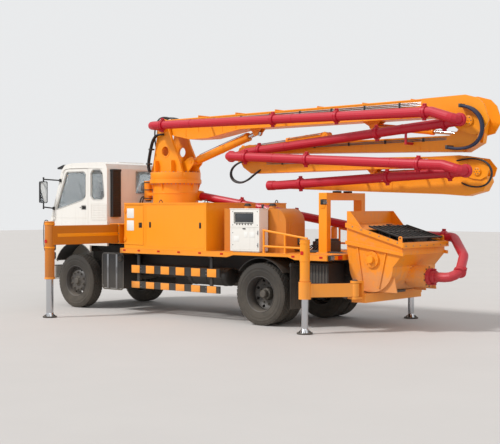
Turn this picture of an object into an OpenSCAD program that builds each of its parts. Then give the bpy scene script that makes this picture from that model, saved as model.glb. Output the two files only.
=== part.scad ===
// Concrete pump truck with a four section folding boom, legs set down.
// X forward, Y left, Z up, ground at Z = 0. Heights and stations are taken from
// the rear axle centre and shifted so that the whole length is centred on X = 0.

/* [Truck] */
// Distance from rear axle to front axle
wheelbase = 4700; // [4500:50:4900]
// Outer diameter of every tyre
tyre_d = 1020; // [980:10:1040]
// Width of a front tyre
front_tyre_w = 270; // [240:10:280]
// Width of one rear tyre
rear_tyre_w = 250; // [220:10:260]
// Free gap between the two tyres of a twin
twin_gap = 30; // [20:5:50]
// Distance from the middle to the centre of an outer rear tyre
rear_tyre_y = 955; // [940:5:970]
// Half width of the deck and its cabinets
deck_half = 1080; // [1040:10:1100]
// Height of the deck's top face
deck_top = 1180; // [1170:5:1200]
// Half width over the chassis rails
rail_half = 400; // [380:5:420]

/* [Cab] */
// Half width of the cab
cab_half = 980; // [940:10:990]
// Thickness of the cab's walls and doors
cab_wall = 40; // [30:5:50]
// Gap round each door
door_gap = 6; // [5:1:10]
// Thickness of the glass
glass_t = 6; // [4:1:8]
// Seating gap round a pane and under trim that is fitted on
seat_gap = 0.3; // [0.2:0.1:0.5]

/* [Pump] */
// Height of the yellow cabinet's top
cabinet_top = 2000; // [1950:10:2040]
// Wall of the cabinet
cabinet_wall = 30; // [20:5:40]
// Half width of the hopper
hopper_half = 620; // [580:10:640]
// Wall of the hopper
hopper_wall = 20; // [12:2:30]
// Radius of the delivery pipe
pipe_r = 75; // [60:5:80]

/* [Boom] */
// Radius of the pedestal tube
pedestal_r = 425; // [400:5:440]
// Radius of the slewing flange
flange_r = 480; // [460:5:490]
// Half width of the four boom sections
section_half_1 = 180; // [160:5:185]
section_half_2 = 150; // [130:5:160]
section_half_3 = 120; // [110:5:130]
section_half_4 = 95; // [80:5:105]
// Radius of the boom's hinge pins
pin_r = 45; // [35:5:50]
// Radial clearance of pins and shafts
pin_gap = 0.3; // [0.1:0.1:0.6]
// Gap between the two rings of the slewing bearing
slew_gap = 0.3; // [0.2:0.1:0.6]

/* [Outriggers] */
// Reach of a front leg from the middle of the truck
front_leg_y = 2470; // [2400:10:2500]
// Radius of a front leg's column
front_leg_r = 85; // [75:5:90]
// Radius of a rear leg's column
rear_leg_r = 75; // [65:5:78]
// Height of the feet's soles over the ground
foot_lift = 0; // [0:1:10]

/* [Hidden] */
$fn = 48;
e = 1;

// Stations and heights shared by several pieces
front_end = wheelbase + 850;
rear_end = -3630;
mid_x = (front_end + rear_end) / 2;
tyre_r = tyre_d / 2;
axle_z = tyre_r;
rail_top = 880;
rail_bottom = 640;
subframe_top = 1090;
cab_rear = 3790;
// The cab, bumper and engine are drawn with the front axle at this station
cab_datum = 4700;
cab_pivot = [5470, 830];
pedestal_x = 2970;
slew_z = 2440;
cabinet_rear = 1180;
cabinet_front = 3210;
cabinet_split = 2710;

// Colours as painted
yellow = "orange";
red = "crimson";
black = [0.12, 0.12, 0.13];
white = [0.93, 0.9, 0.86];
steel = "silver";

// Helpers: every piece is drawn in truck stations and set on the shared origin
module on_truck() translate([-mid_x, 0, 0]) children();
module on_cab() translate([wheelbase - cab_datum - mid_x, 0, 0]) children();

module slab(low, high) translate(low) cube(high - low);

module both_sides() {
    children();
    mirror([0, 1, 0]) children();
}

// Side profile in X and Z, as thick as the span from y_low to y_high
module profile_plate(y_low, y_high) translate([0, y_high, 0]) rotate([90, 0, 0])
    linear_extrude(y_high - y_low) children();

// Round bar along Y
module cross_bar(x, z, r, y_low, y_high) translate([x, y_high, z]) rotate([90, 0, 0])
    cylinder(r = r, h = y_high - y_low);

// Ring shape about Y, the profile's first axis being the radius
module about_y() rotate([-90, 0, 0]) rotate_extrude() children();

function unit(v) = v / norm(v);

// Round bar from point a to point b
module bar(a, b, r) {
    v = b - a;
    translate(a) rotate([0, acos(v.z / norm(v)), atan2(v.y, v.x)]) cylinder(r = r, h = norm(v));
}

// Point at a distance along the line from a to b
function along(a, b, distance) = a + unit(b - a) * distance;

// Replaces one corner of a path by an arc of n steps with the bend radius
function arc_corner(a, b, c, bend, n) = let(
        u = unit(a - b),
        v = unit(c - b),
        half = acos(u * v) / 2,
        centre = b + unit(u + v) * bend / sin(half),
        from = b + u * bend / tan(half) - centre,
        to = b + v * bend / tan(half) - centre,
        turn = 180 - 2 * half)
    [for (k = [0:n]) centre + from * sin(turn * (1 - k / n)) / sin(turn) + to * sin(turn * k / n) / sin(turn)];

function smooth_path(p, bend, n) = [p[0],
    for (i = [1:len(p) - 2]) each arc_corner(p[i - 1], p[i], p[i + 1], bend, n), p[len(p) - 1]];

function tangent(p, i) = unit(p[min(i + 1, len(p) - 1)] - p[max(i - 1, 0)]);

function carried(p, i, side) = i == 0 ? unit(side - tangent(p, 0) * (side * tangent(p, 0)))
    : let(before = carried(p, i - 1, side), t = tangent(p, i)) unit(before - t * (before * t));

// Round tube swept along a path of points
module swept_tube(p, r, side = [0, 0.2, 1], n = 16) {
    rings = [for (i = [0:len(p) - 1]) let(s = carried(p, i, side), w = cross(tangent(p, i), s))
        for (k = [0:n - 1]) p[i] + r * (cos(360 * k / n) * s + sin(360 * k / n) * w)];
    skin = [for (i = [0:len(p) - 2], k = [0:n - 1])
        [i * n + k, (i + 1) * n + k, (i + 1) * n + (k + 1) % n, i * n + (k + 1) % n]];
    last = (len(p) - 1) * n;
    caps = [[for (k = [0:n - 1]) k], [for (k = [n - 1:-1:0]) last + k]];
    polyhedron(rings, concat(skin, caps));
}

// Chassis: two channel rails, cross members and the sub frame under the deck
rail_t = 8;
rail_flange = 75;
rail_rear = -1450;
rail_front = wheelbase + 600;
rail_cross_x = [-1400, -700, 500, 1700, 2900, rail_front - 150];
subframe_cross_x = [-1350, -100, 1100, 2250, 3600];
cross_w = 80;

module chassis_frame() color(black) on_truck() {
    both_sides() {
        slab([rail_rear, rail_half - rail_t, rail_bottom], [rail_front, rail_half, rail_top]);
        for (z = [rail_bottom, rail_top - rail_t])
            slab([rail_rear, rail_half - rail_flange, z], [rail_front, rail_half, z + rail_t]);
        slab([-1400, rail_half - 70, rail_top], [3740, rail_half, subframe_top]);
    }
    for (x = rail_cross_x)
        slab([x, e - rail_half, 760], [x + cross_w, rail_half - e, 850]);
    for (x = subframe_cross_x)
        slab([x, e - rail_half, 900], [x + cross_w, rail_half - e, 1060]);
}

// Bumper below the tilting cab, with a lamp pocket at each end
nose = cab_datum + 850;
bumper_low = 500;
bumper_high = 775;
lamp_pocket_r = 62;
module front_bumper() color(white) on_cab() {
    difference() {
        union() {
            profile_plate(-cab_half + 20, cab_half - 20) polygon([[5420, bumper_low + 40],
                [5520, bumper_low], [nose, bumper_low + 60], [nose, bumper_high - 60],
                [5530, bumper_high], [5420, bumper_high]]);
            both_sides() slab([5330, cab_half - 60, bumper_low + 60], [5440, cab_half - 20, bumper_high]);
        }
        both_sides() for (y = [700, 840])
            translate([nose - 25, y, 640]) rotate([0, 90, 0]) cylinder(r = lamp_pocket_r, h = 60);
        slab([nose - 12, -420, 570], [nose + 10, 420, 700]);
    }
    both_sides() {
        slab([cab_datum + 600, rail_half - 70, 650], [5430, rail_half, 760]);
        profile_plate(pivot_y[0] - 35, pivot_y[0] - 10) union() {
            translate(cab_pivot) circle(30);
            polygon([[5340, 660], [5430, 660], cab_pivot + [29, 0], cab_pivot + [-29, 0]]);
        }
        cross_bar(cab_pivot.x, cab_pivot.y, pivot_r, pivot_y[0] - 11, pivot_y[1] + 12);
    }
}

// Curved leaf pack, ends turned up towards the rail
leaf_r = 3600;
module leaf_pack(x, z, lengths, leaf_t = 13, y_mid = 362, w = 66) {
    for (k = [0:len(lengths) - 1]) profile_plate(y_mid - w / 2, y_mid + w / 2) intersection() {
        difference() {
            translate([x, z + leaf_r]) circle(leaf_r + (k + 1) * leaf_t, $fn = 180);
            translate([x, z + leaf_r]) circle(leaf_r + k * leaf_t, $fn = 180);
        }
        translate([x - lengths[k] / 2, z - 120]) square([lengths[k], 300]);
    }
}

// Front axle: dropped beam with kingpin eyes, leaf packs and shackles
kingpin_y = 620;
kingpin_r = 25;
eye_half = 55;
module front_axle() color(black) on_truck() {
    x = wheelbase;
    difference() {
        union() {
            slab([x - 50, -500, axle_z - 75], [x + 50, 500, axle_z + 5]);
            both_sides() {
                slab([x - 45, 490, axle_z - 50], [x + 45, kingpin_y, axle_z + 45]);
                translate([x, kingpin_y, axle_z - eye_half]) cylinder(r = 58, h = 2 * eye_half);
            }
        }
        both_sides() translate([x, kingpin_y, axle_z - eye_half - e])
            cylinder(r = kingpin_r + pin_gap, h = 2 * eye_half + 2 * e);
    }
    both_sides() {
        leaf_pack(x, axle_z + 45, [1240, 1000, 760, 520]);
        slab([x - 60, 330, axle_z + 5], [x + 60, 394, axle_z + 46]);
        for (s = [-1, 1]) slab([x + s * 590 - 30, 340, 598], [x + s * 590 + 30, 384, rail_bottom]);
    }
}

twin_inner_y = rear_tyre_y - rear_tyre_w - twin_gap;
rear_stub_end = rear_tyre_y - 55;
// Rear axle: tube, differential housing, brake drums, leaf packs and seats
module rear_axle() color(black) on_truck() {
    translate([0, -twin_inner_y - 85, axle_z]) rotate([-90, 0, 0]) cylinder(r = 62, h = 2 * twin_inner_y + 170);
    translate([0, -rear_stub_end, axle_z]) rotate([-90, 0, 0]) cylinder(r = stub_r, h = 2 * rear_stub_end);
    translate([-150, 0, axle_z]) rotate([0, 90, 0]) cylinder(r = 200, h = 280);
    translate([125, 0, axle_z]) rotate([0, 90, 0]) cylinder(r1 = 150, r2 = 70, h = 160);
    both_sides() {
        cross_bar(0, axle_z, 195, twin_inner_y - 130, twin_inner_y + 25);
        slab([-65, 325, axle_z + 50], [65, 399, axle_z + 75]);
        leaf_pack(0, axle_z + 74, [1200, 940, 680], 14);
        for (s = [-1, 1]) slab([s * 560 - 30, 340, 622], [s * 560 + 30, 384, rail_bottom]);
    }
}

// Engine as one plain block, gearbox and propeller shaft
module driveline() color([0.3, 0.31, 0.33]) on_truck() {
    slab([wheelbase - 640, -300, 600], [wheelbase + 260, 300, 1190]);
    translate([wheelbase - 1250, 0, 715]) rotate([0, 90, 0]) cylinder(r1 = 130, r2 = 230, h = 612);
    bar([288.7, 0, axle_z], [wheelbase - 1245, 0, 690], 48);
}

// Fuel tank, battery box, air tank and silencer under the deck
module underbody() color(black) on_truck() {
    both_sides() {
        slab([wheelbase - 1280, 470, 420], [wheelbase - 740, 930, 1050]);
        for (x = [wheelbase - 1220, wheelbase - 860]) slab([x, rail_half, 700], [x + 60, 471, 840]);
    }
    for (x = [1300, 2000]) slab([x, -471, 700], [x + 50, -rail_half, 840]);
    difference() {
        slab([1200, -930, 470], [2200, -470, 980]);
        translate([1150, -935, 465]) rotate([0, 90, 0]) rotate(45) cube([60, 60, 2400], center = true);
    }
    translate([1000, 640, 720]) rotate([0, 90, 0]) cylinder(r = 150, h = 900);
    for (x = [1150, 1650]) slab([x, rail_half, 690], [x + 50, 520, 760]);
    slab([-1250, 470, 700], [-800, 900, 1040]);
    slab([-1200, rail_half, 800], [-900, 471, 900]);
}

// Two guard rails each side with raised squares, on posts from the deck sill
guard_squares = 6;
guard_y = deck_half - 45;
module side_guards() color(black) on_truck() both_sides() {
    guard_rails = [[470, 590], [740, 880]];
    for (z = guard_rails) slab([890, guard_y, z[0]], [3040, guard_y + 30, z[1]]);
    for (x = [1080, 2860]) {
        slab([x, guard_y - 30, 470], [x + 60, guard_y + e, subframe_top]);
        slab([x, guard_y - 30, subframe_top - 20], [x + 60, guard_y + 40, subframe_top]);
    }
    for (z = guard_rails, k = [0:guard_squares - 1])
        slab([960 + k * 372, guard_y + 29, z[0]], [1170 + k * 372, guard_y + 35, z[1]]);
}

// Deck plate with side sills raised over the rear wheels and bearers to the sub frame
deck_rear = -1350;
deck_front = 3330;
deck_t = 40;
sill_drop = 90;
leg_travel = 1400;
notch_gap = 15;
module deck() color(yellow) on_truck() difference() {
    deck_plates();
    slab([(sleeve_x[0][0] + sleeve_x[0][1]) / 2 - front_leg_r - notch_gap, -deck_half - e, subframe_top - e],
        [deck_front + e, -front_leg_y + leg_travel + front_leg_r + notch_gap, deck_top + e]);
}
module deck_plates() {
    slab([deck_rear, -deck_half, deck_top - deck_t], [deck_front, deck_half, deck_top]);
    both_sides() {
        profile_plate(deck_half - 40, deck_half) polygon([[deck_rear, deck_top - sill_drop],
            [-720, deck_top - sill_drop], [-580, deck_top - 50], [580, deck_top - 50],
            [720, deck_top - sill_drop], [deck_front, deck_top - sill_drop],
            [deck_front, deck_top - 20], [deck_rear, deck_top - 20]]);
        slab([deck_rear, rail_half - 70, subframe_top], [2500, rail_half, deck_top - deck_t + e]);
    }
    for (x = [deck_rear, deck_front - 40])
        slab([x, -deck_half, deck_top - sill_drop], [x + 40, deck_half, deck_top - 20]);
}

// Twin sleeves for the sliding front legs: [rear face, front face] of each
sleeve_t = 14;
sleeve_x = [[3245, 3487], [3487, 3729]];
sleeve_z = [1250, 1620];
sleeve_half = 960;
module sleeve_hollows() for (s = sleeve_x)
    slab([s[0] + sleeve_t, -1200, sleeve_z[0] + sleeve_t], [s[1] - sleeve_t, 1200, sleeve_z[1] - sleeve_t]);

// Pedestal tube on its foot frame, leg sleeves, fixed slewing ring and slewing motor
module pedestal() color(yellow) on_truck() {
    difference() {
        union() {
            translate([pedestal_x, 0, deck_top]) cylinder(r = pedestal_r, h = slew_z - deck_top, $fn = 72);
            translate([pedestal_x, 0, slew_z - 80]) cylinder(r = flange_r, h = 80, $fn = 72);
            slab([2450, -rail_half, deck_top], [3735, rail_half, sleeve_z[0]]);
            slab([deck_front + 5, -rail_half, subframe_top], [3735, rail_half, deck_top + e]);
            slab([sleeve_x[0][0], -sleeve_half, sleeve_z[0]], [sleeve_x[1][1], sleeve_half, sleeve_z[1]]);
            bar(pipe_end + pipe_way * seat_gap, pipe_end + pipe_way * 160, pipe_r + 20);
            for (a = [20:40:340]) translate([pedestal_x, 0, slew_z - 230]) rotate(a)
                translate([pedestal_r - 5, 8, 0]) rotate([90, 0, 0]) linear_extrude(16)
                polygon([[0, 0], [50, 152], [0, 152]]);
        }
        sleeve_hollows();
        translate([pedestal_x, 0, slew_z - 400]) cylinder(r = 300, h = 420);
    }
    translate([3570, 130, 2060]) cylinder(r = 80, h = slew_z - 2060 - 20);
    slab([3380, 60, 2140], [3560, 200, 2200]);
    translate([3570, -130, 2160]) cylinder(r = 60, h = 180);
    slab([3380, -180, 2200], [3560, -80, 2250]);
}

// Yellow cabinet over the deck, hollow, open for the pedestal and for one door
cabinet_door_z = [1240, 1960];
// Trough in its top for the delivery pipe
trough_y = [-575, -215];
trough_floor = 1800;
locker_hinge = [cabinet_front - 20 - door_gap / 2, deck_half + 15];
locker_hinge_z = [1320, 1830];
module cabinet() color(yellow) on_truck() {
    cabinet_box();
    for (z = locker_hinge_z) hinge_fixed(locker_hinge, z, 50, 7, deck_half, 18);
}
module cabinet_box() difference() {
    union() {
        difference() {
            slab([cabinet_rear, -deck_half, deck_top], [cabinet_front, deck_half, cabinet_top]);
            slab([cabinet_rear + cabinet_wall, -deck_half + cabinet_wall, deck_top - e],
                [cabinet_front - cabinet_wall, deck_half - cabinet_wall, cabinet_top - cabinet_wall]);
        }
        slab([cabinet_rear + e, trough_y[0] - cabinet_wall, trough_floor - cabinet_wall],
            [pedestal_x, trough_y[1] + cabinet_wall, cabinet_top - e]);
    }
    slab([cabinet_rear - e, trough_y[0], trough_floor], [pedestal_x + e, trough_y[1], cabinet_top + e]);
    translate([pedestal_x, 0, deck_top - e]) cylinder(r = pedestal_r + 10, h = 900, $fn = 72);
    slab([cabinet_front - 100, -rail_half - 10, deck_top - e], [cabinet_front + e, rail_half + 10, 1270]);
    slab([cabinet_split, deck_half - 100, cabinet_door_z[0]],
        [cabinet_front - 20, deck_half + e, cabinet_door_z[1]]);
    slab([cabinet_split - 40, deck_half - 4, deck_top + 20], [cabinet_split - 34, deck_half + e, cabinet_top - 20]);
}

module cabinet_door() color(yellow) on_truck() {
    difference() {
        slab([cabinet_split + door_gap, deck_half - cabinet_wall, cabinet_door_z[0] + door_gap],
            [cabinet_front - 20 - door_gap, deck_half, cabinet_door_z[1] - door_gap]);
        slab([cabinet_split + 45, deck_half - 12, 1560], [cabinet_split + 115, deck_half + e, 1640]);
    }
    for (z = locker_hinge_z) hinge_leaf(locker_hinge, z, 50, 7, deck_half, 36);
}

// White control box with a display recess
box_x = [10, 640];
box_y = [deck_half - 230, deck_half - 2];
box_z = [1200, 1890];
module control_box() color(white) on_truck() {
    difference() {
        slab([box_x[0], box_y[0], box_z[0]], [box_x[1], box_y[1], box_z[1]]);
        slab([140, box_y[1] - 20, 1665], [550, box_y[1] + e, 1830]);
        slab([box_x[0] - e, box_y[1] - 4, 1588], [box_x[1] + e, box_y[1] + e, 1594]);
    }
    slab([box_x[0] + 30, box_y[0] + 20, deck_top], [box_x[1] - 30, box_y[1] - 30, box_z[0] + e]);
}

// Oil tank behind the control box, rounded at its upper rear edge, with filler caps
tank_x = [-340, 1000];
tank_round = 240;
tank_gap = 30;
tank_y = [box_y[0] - tank_gap - 500, box_y[0] - tank_gap];
module hydraulic_tank() color([0.8, 0.45, 0.2]) on_truck() {
    profile_plate(tank_y[0], tank_y[1]) union() {
        translate([tank_x[0] + tank_round, deck_top]) square([tank_x[1] - tank_x[0] - tank_round, 720]);
        translate([tank_x[0], deck_top]) square([tank_round + e, 720 - tank_round]);
        translate([tank_x[0] + tank_round, deck_top + 720 - tank_round]) circle(tank_round);
    }
    for (x = [150, 700]) translate([x, tank_y[0] + 240, deck_top + 715]) cylinder(r = 55, h = 50);
}

// Side railings of the rear deck: posts, sloping top rail and knee rail
rail_tube_r = 18;
railing_y = deck_half - 35;
railing_posts = [[-60, 1550], [-500, 1490], [-930, 1430]];
module railings() color(yellow) on_truck() both_sides() {
    for (p = railing_posts) bar([p[0], railing_y, deck_top], [p[0], railing_y, p[1]], rail_tube_r);
    bar([railing_posts[0][0] + 15, railing_y, railing_posts[0][1]],
        [railing_posts[2][0] - 15, railing_y, railing_posts[2][1]], rail_tube_r);
    bar([railing_posts[0][0], railing_y, 1290], [railing_posts[2][0], railing_y, 1275], rail_tube_r);
}

// Boom rest: two posts and a padded cross beam
rest_x = [-950, -790];
rest_top = 2185;
module boom_rest() color(yellow) on_truck() {
    both_sides() slab([rest_x[0], 430, deck_top], [rest_x[1], 540, rest_top - 60]);
    slab([rest_x[0], -540, rest_top - 150], [rest_x[1], 540, rest_top - 30]);
    for (y = [-150, 150]) slab([rest_x[0] + 20, y - 40, rest_top - 31], [rest_x[1] - 20, y + 40, rest_top]);
}

// Hopper: sloping rim, rounded trough, splash wings and agitator bosses
hopper_x = [-2420, -1400];
trough = [-1850, 1010];
trough_r = 400;
hopper_seat = 600;
module hopper_outline(grow) {
    polygon([[hopper_x[1] - grow, 1680], [hopper_x[0] + grow, 1385], [hopper_x[0] + grow, 1200],
        [trough.x - trough_r + grow, trough.y], [trough.x + trough_r - grow, trough.y],
        [hopper_x[1] - grow, 1290]]);
    translate(trough) circle(trough_r - grow);
}
module hopper() color(yellow) on_truck() {
    difference() {
        union() {
            profile_plate(-hopper_half, hopper_half) hopper_outline(0);
            both_sides() {
                profile_plate(hopper_half - e, hopper_half + 45) polygon([[hopper_x[1], 1680],
                    [hopper_x[0] - 40, 1378], [hopper_x[0] - 40, 1310], [hopper_x[1], 1610]]);
                profile_plate(hopper_half - e, hopper_half + 45) polygon([[hopper_x[1], 1400],
                    [hopper_x[0] - 40, 1235], [hopper_x[0] - 40, 1185], [hopper_x[1], 1345]]);
                for (x = [-2080, -1760]) profile_plate(430, 450)
                    polygon([[x - 110, hopper_seat], [x + 110, hopper_seat], [x + 60, 900], [x - 60, 900]]);
            }
            slab([hopper_x[0] - 40, -hopper_half - 45, 1310], [hopper_x[0] + e, hopper_half + 45, 1378]);
        }
        profile_plate(-hopper_half + hopper_wall, hopper_half - hopper_wall) difference() {
            union() {
                hopper_outline(hopper_wall);
                polygon([[hopper_x[1] - hopper_wall, 1600], [hopper_x[0] + hopper_wall, 1310],
                    [hopper_x[0] + hopper_wall, 1500], [hopper_x[1] - hopper_wall, 1800]]);
            }
        }
    }
    both_sides() {
        profile_plate(hopper_half - hopper_wall, hopper_half) difference() {
            union() {
                translate(grate_axis) circle(32);
                translate(grate_axis + [-32, -75]) square([64, 75]);
            }
            translate(grate_axis) circle(grate_pin_r + pin_gap);
        }
        profile_plate(hopper_half - 16, hopper_half) polygon([[hopper_x[1], 1660], [hopper_x[1], 1860],
            [hopper_x[1] - 60, 1860], [-1720, 1560]]);
        cross_bar(trough.x - 30, 1120, 125, hopper_half - e, hopper_half + 35);
        cross_bar(trough.x - 30, 1120, 60, hopper_half - e, hopper_half + 75);
    }
    slab([hopper_x[1] - 20, -hopper_half, 1640], [hopper_x[1], hopper_half, 1860]);
    profile_plate(-hopper_half + e, hopper_half - e) polygon([[hopper_x[1] - e, 1676], [-1745, 1578], [-1745, 1564],
        [hopper_x[1] - e, 1662]]);
    both_sides() profile_plate(560, 580) polygon([[-2300, 620], [-1470, 620],
        [-1500, 800], [-1850, 640], [-2250, 860]]);
    translate([outlet_x, 0, 850]) rotate([0, 90, 0]) cylinder(r = 170, h = 330);
}

// Hinged grate over the hopper mouth
grate_hinge = [-2380, 1410];
grate_front = [-1760, 1586];
grate_bars = 9;
grate_axis = [-2380, 1452];
grate_pin_r = 14;
module grate_bar_line(y, w) {
    lift = [0, 28];
    profile_plate(y - w / 2, y + w / 2) polygon([grate_hinge + lift, grate_front + lift,
        grate_front + 2 * lift, grate_hinge + 2 * lift]);
}
module hopper_grate() color([0.2, 0.2, 0.2]) on_truck() {
    for (k = [0:grate_bars - 1]) grate_bar_line(-540 + k * 1080 / (grate_bars - 1), 14);
    for (t = [0.03, 0.5, 0.97]) {
        p = grate_hinge + (grate_front - grate_hinge) * t + [0, 42];
        cross_bar(p.x, p.y, 12, -548, 548);
    }
    cross_bar(grate_axis.x, grate_axis.y, grate_pin_r, -hopper_half + 2, hopper_half - 2);
    for (y = [-500, 0, 500])
        slab([grate_axis.x - 8, y - 20, grate_axis.y - 10], [grate_axis.x + 60, y + 20, grate_axis.y + 8]);
}

// Rear frame: cross beam under the hopper, hangers and the hinge lugs of the rear legs
rear_hinge = [-1750, 900];
arm_z = [560, 760];
lug_t = 35;
hinge_pin_r = 30;
module rear_frame() color(yellow) on_truck() {
    slab([-1880, -800, 460], [-1620, 800, hopper_seat]);
    both_sides() {
        slab([-1640, rail_half - 70, 460], [rail_rear + 200, rail_half - 9, hopper_seat]);
        slab([-1560, rail_half - 70, hopper_seat - e], [rail_rear + 200, rail_half - 9, rail_bottom]);
        slab([-1830, 780, 460], [-1670, 815, arm_z[1] + lug_t + 5]);
        for (z = [arm_z[0] - lug_t - 5, arm_z[1] + 5]) hull() {
            translate([rear_hinge.x, rear_hinge.y, z]) cylinder(r = 70, h = lug_t);
            slab([-1830, 800, z], [-1670, 810, z + lug_t]);
        }
        translate([rear_hinge.x, rear_hinge.y, arm_z[0] - lug_t - 10])
            cylinder(r = hinge_pin_r, h = arm_z[1] - arm_z[0] + 2 * lug_t + 20);
    }
}

// Delivery pipe: from the hopper outlet round its right side and along the deck
pipe_bend = 170;
outlet_x = -2510;
pipe_end = [2600, -320, 2130];
deck_bend = [-800, -660, 1570];
pipe_way = unit(pipe_end - deck_bend);
delivery_points = [[outlet_x - seat_gap, 0, 850], [-3020, 0, 850], [-2860, -450, 1170], [-2460, -850, 1440],
    [-1250, -820, 1480], deck_bend, pipe_end];
module pipe_clamp(a, b, distance, r, w = 70, lip = 18)
    bar(along(a, b, distance), along(a, b, distance + w), r + lip);
module delivery_pipe() color(red) on_truck() {
    swept_tube(smooth_path(delivery_points, pipe_bend, 4), pipe_r);
    for (s = [[0, 60], [1, 120], [3, 150], [3, 800], [5, 120], [5, 1300], [5, 2500]])
        pipe_clamp(delivery_points[s[0]], delivery_points[s[0] + 1], s[1], pipe_r);
    translate([outlet_x - seat_gap, 0, 850]) rotate([0, -90, 0]) cylinder(r = 130, h = 60);
}

// Cab: side profile as [x, z] points
arch = [cab_datum, 640];
arch_r = 600;
cab_bottom = 1200;
floor_z = 1300;
roof_z = 2765;
cab_outline = [[cab_rear, cab_bottom], [4280, cab_bottom], [4280, 870], [5500, 870], [5520, 1300],
    [5490, 1560], [5405, 1770], [5095, 2640], [5010, 2730], [4800, roof_z], [3950, roof_z],
    [3830, 2730], [cab_rear, 2640]];
cab_inside = [[cab_rear + cab_wall, floor_z], [5475, floor_z], [5450, 1550], [5362, 1755],
    [5057, 2622], [4985, 2692], [4795, 2722], [3955, 2722], [3855, 2695], [cab_rear + cab_wall, 2630]];
windscreen_low = [5405, 1770];
windscreen_high = [5095, 2640];
windscreen_half = 880;
door_outline = [[4330, 1270], [4330, 2650], [4975, 2650], [5040, 2560], [5330, 1800], [5330, 1270]];
door_window = [[5268, 1880], [4500, 2060], [4410, 2120], [4400, 2540], [4450, 2590], [4950, 2590]];
quarter_window = [[3880, 2130], [3940, 2070], [4180, 2070], [4240, 2130], [4240, 2560],
    [4180, 2620], [3990, 2620], [3930, 2560]];

// Strip of a line from a to b between two distances, thick from one offset to the other
function strip(a, b, start, stop, near, far) = let(
        u = unit(b - a),
        n = [u.y, -u.x])
    [a + u * start + n * near, a + u * stop + n * near, a + u * stop + n * far, a + u * start + n * far];

windscreen_length = norm(windscreen_high - windscreen_low);

module door_opening(side) profile_plate(side > 0 ? cab_half - cab_wall - e : -cab_half - e,
    side > 0 ? cab_half + e : -cab_half + cab_wall + e)
    polygon([for (p = door_outline) [p.x + (p.x > 4600 ? door_gap : -door_gap),
        p.y + (p.y > 1700 ? door_gap : -door_gap)]]);

// Hinges: a fixed pin between two ears, and the leaf with the eye that turns on it
module hinge_fixed(axis, z, h, r, face_y, reach) {
    for (s = [-r * 1.5, h + r * 0.2]) {
        translate([axis.x, axis.y, z + s]) cylinder(r = r * 1.4, h = r * 1.3);
        slab([axis.x + r * 0.4, face_y - e, z + s], [axis.x + reach, axis.y + r * 0.6, z + s + r * 1.3]);
    }
    translate([axis.x, axis.y, z - r]) cylinder(r = r, h = h + 2 * r);
}
module hinge_leaf(axis, z, h, r, face_y, reach) difference() {
    union() {
        translate([axis.x, axis.y, z]) cylinder(r = r * 1.6, h = h);
        slab([axis.x - reach, face_y - e, z], [axis.x - r * 0.3, axis.y - r * 0.3, z + h]);
    }
    translate([axis.x, axis.y, z - e]) cylinder(r = r + pin_gap, h = h + 2 * e);
}
door_hinge = [5333, cab_half + 18];
door_hinge_z = [1340, 1680];
door_hinge_h = 60;
door_hinge_r = 10;
// Tilting pivots under the cab's front: lugs on pins
pivot_r = 16;
pivot_y = [345, 375];

module cab_shell() color(white) on_cab() {
    cab_box();
    both_sides() {
        for (z = door_hinge_z) hinge_fixed(door_hinge, z, door_hinge_h, door_hinge_r, cab_half, 50);
        profile_plate(pivot_y[0], pivot_y[1]) difference() {
            union() {
                translate(cab_pivot) circle(34);
                polygon([cab_pivot + [-34, 0], cab_pivot + [34, 0], [5490, 900], [5462, 900]]);
            }
            translate(cab_pivot) circle(pivot_r + pin_gap);
        }
    }
}
module cab_box() difference() {
    profile_plate(-cab_half, cab_half) polygon(cab_outline);
    profile_plate(-cab_half + cab_wall, cab_half - cab_wall) polygon(cab_inside);
    profile_plate(-cab_half + cab_wall, cab_half - cab_wall) polygon([[cab_rear - e, 860 - e],
        [5460, 860 - e], [5480, floor_z - 40], [cab_rear - e, floor_z - 40]]);
    cross_bar(arch.x, arch.y, arch_r, -cab_half - e, cab_half + e, $fn = 96);
    profile_plate(-windscreen_half, windscreen_half)
        polygon(strip(windscreen_low, windscreen_high, 50, windscreen_length - 40, -80, 80));
    for (side = [-1, 1]) door_opening(side);
    profile_plate(-cab_half - e, cab_half + e) polygon(quarter_window);
    slab([cab_rear - e, -240, 2190], [cab_rear + cab_wall + e, 240, 2600]);
}

// Windscreen, rear pane and quarter panes
module cab_glass() color([0.5, 0.6, 0.65, 0.5]) on_cab() {
    profile_plate(-windscreen_half + seat_gap, windscreen_half - seat_gap)
        polygon(strip(windscreen_low, windscreen_high, 50 + seat_gap, windscreen_length - 40 - seat_gap,
            -8, -8 - glass_t));
    slab([cab_rear + 15, -240, 2190], [cab_rear + 15 + glass_t, 240, 2600]);
    both_sides() profile_plate(cab_half - 20 - glass_t, cab_half - 20) polygon(quarter_window);
}

// Door with its window cut, handle recess and inner pull
module door_panel() color(white) on_cab() {
    difference() {
        profile_plate(cab_half - cab_wall, cab_half) polygon(door_outline);
        profile_plate(cab_half - cab_wall - e, cab_half + e) polygon(door_window);
        slab([4390, cab_half - 18, 1880], [4510, cab_half + e, 1950]);
        cross_bar(arch.x, arch.y, arch_r + door_gap, cab_half - cab_wall - e, cab_half + e, $fn = 96);
    }
    slab([4380, cab_half - 17, 1925], [4520, cab_half - 2, 1945]);
    for (z = door_hinge_z) hinge_leaf(door_hinge, z, door_hinge_h, door_hinge_r, cab_half, 48);
}
module door_left() door_panel();
module door_right() mirror([0, 1, 0]) door_panel();
module door_pane() color([0.5, 0.6, 0.65, 0.5]) on_cab()
    profile_plate(cab_half - 20 - glass_t, cab_half - 20) polygon(door_window);
module door_glass_left() door_pane();
module door_glass_right() mirror([0, 1, 0]) door_pane();

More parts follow.
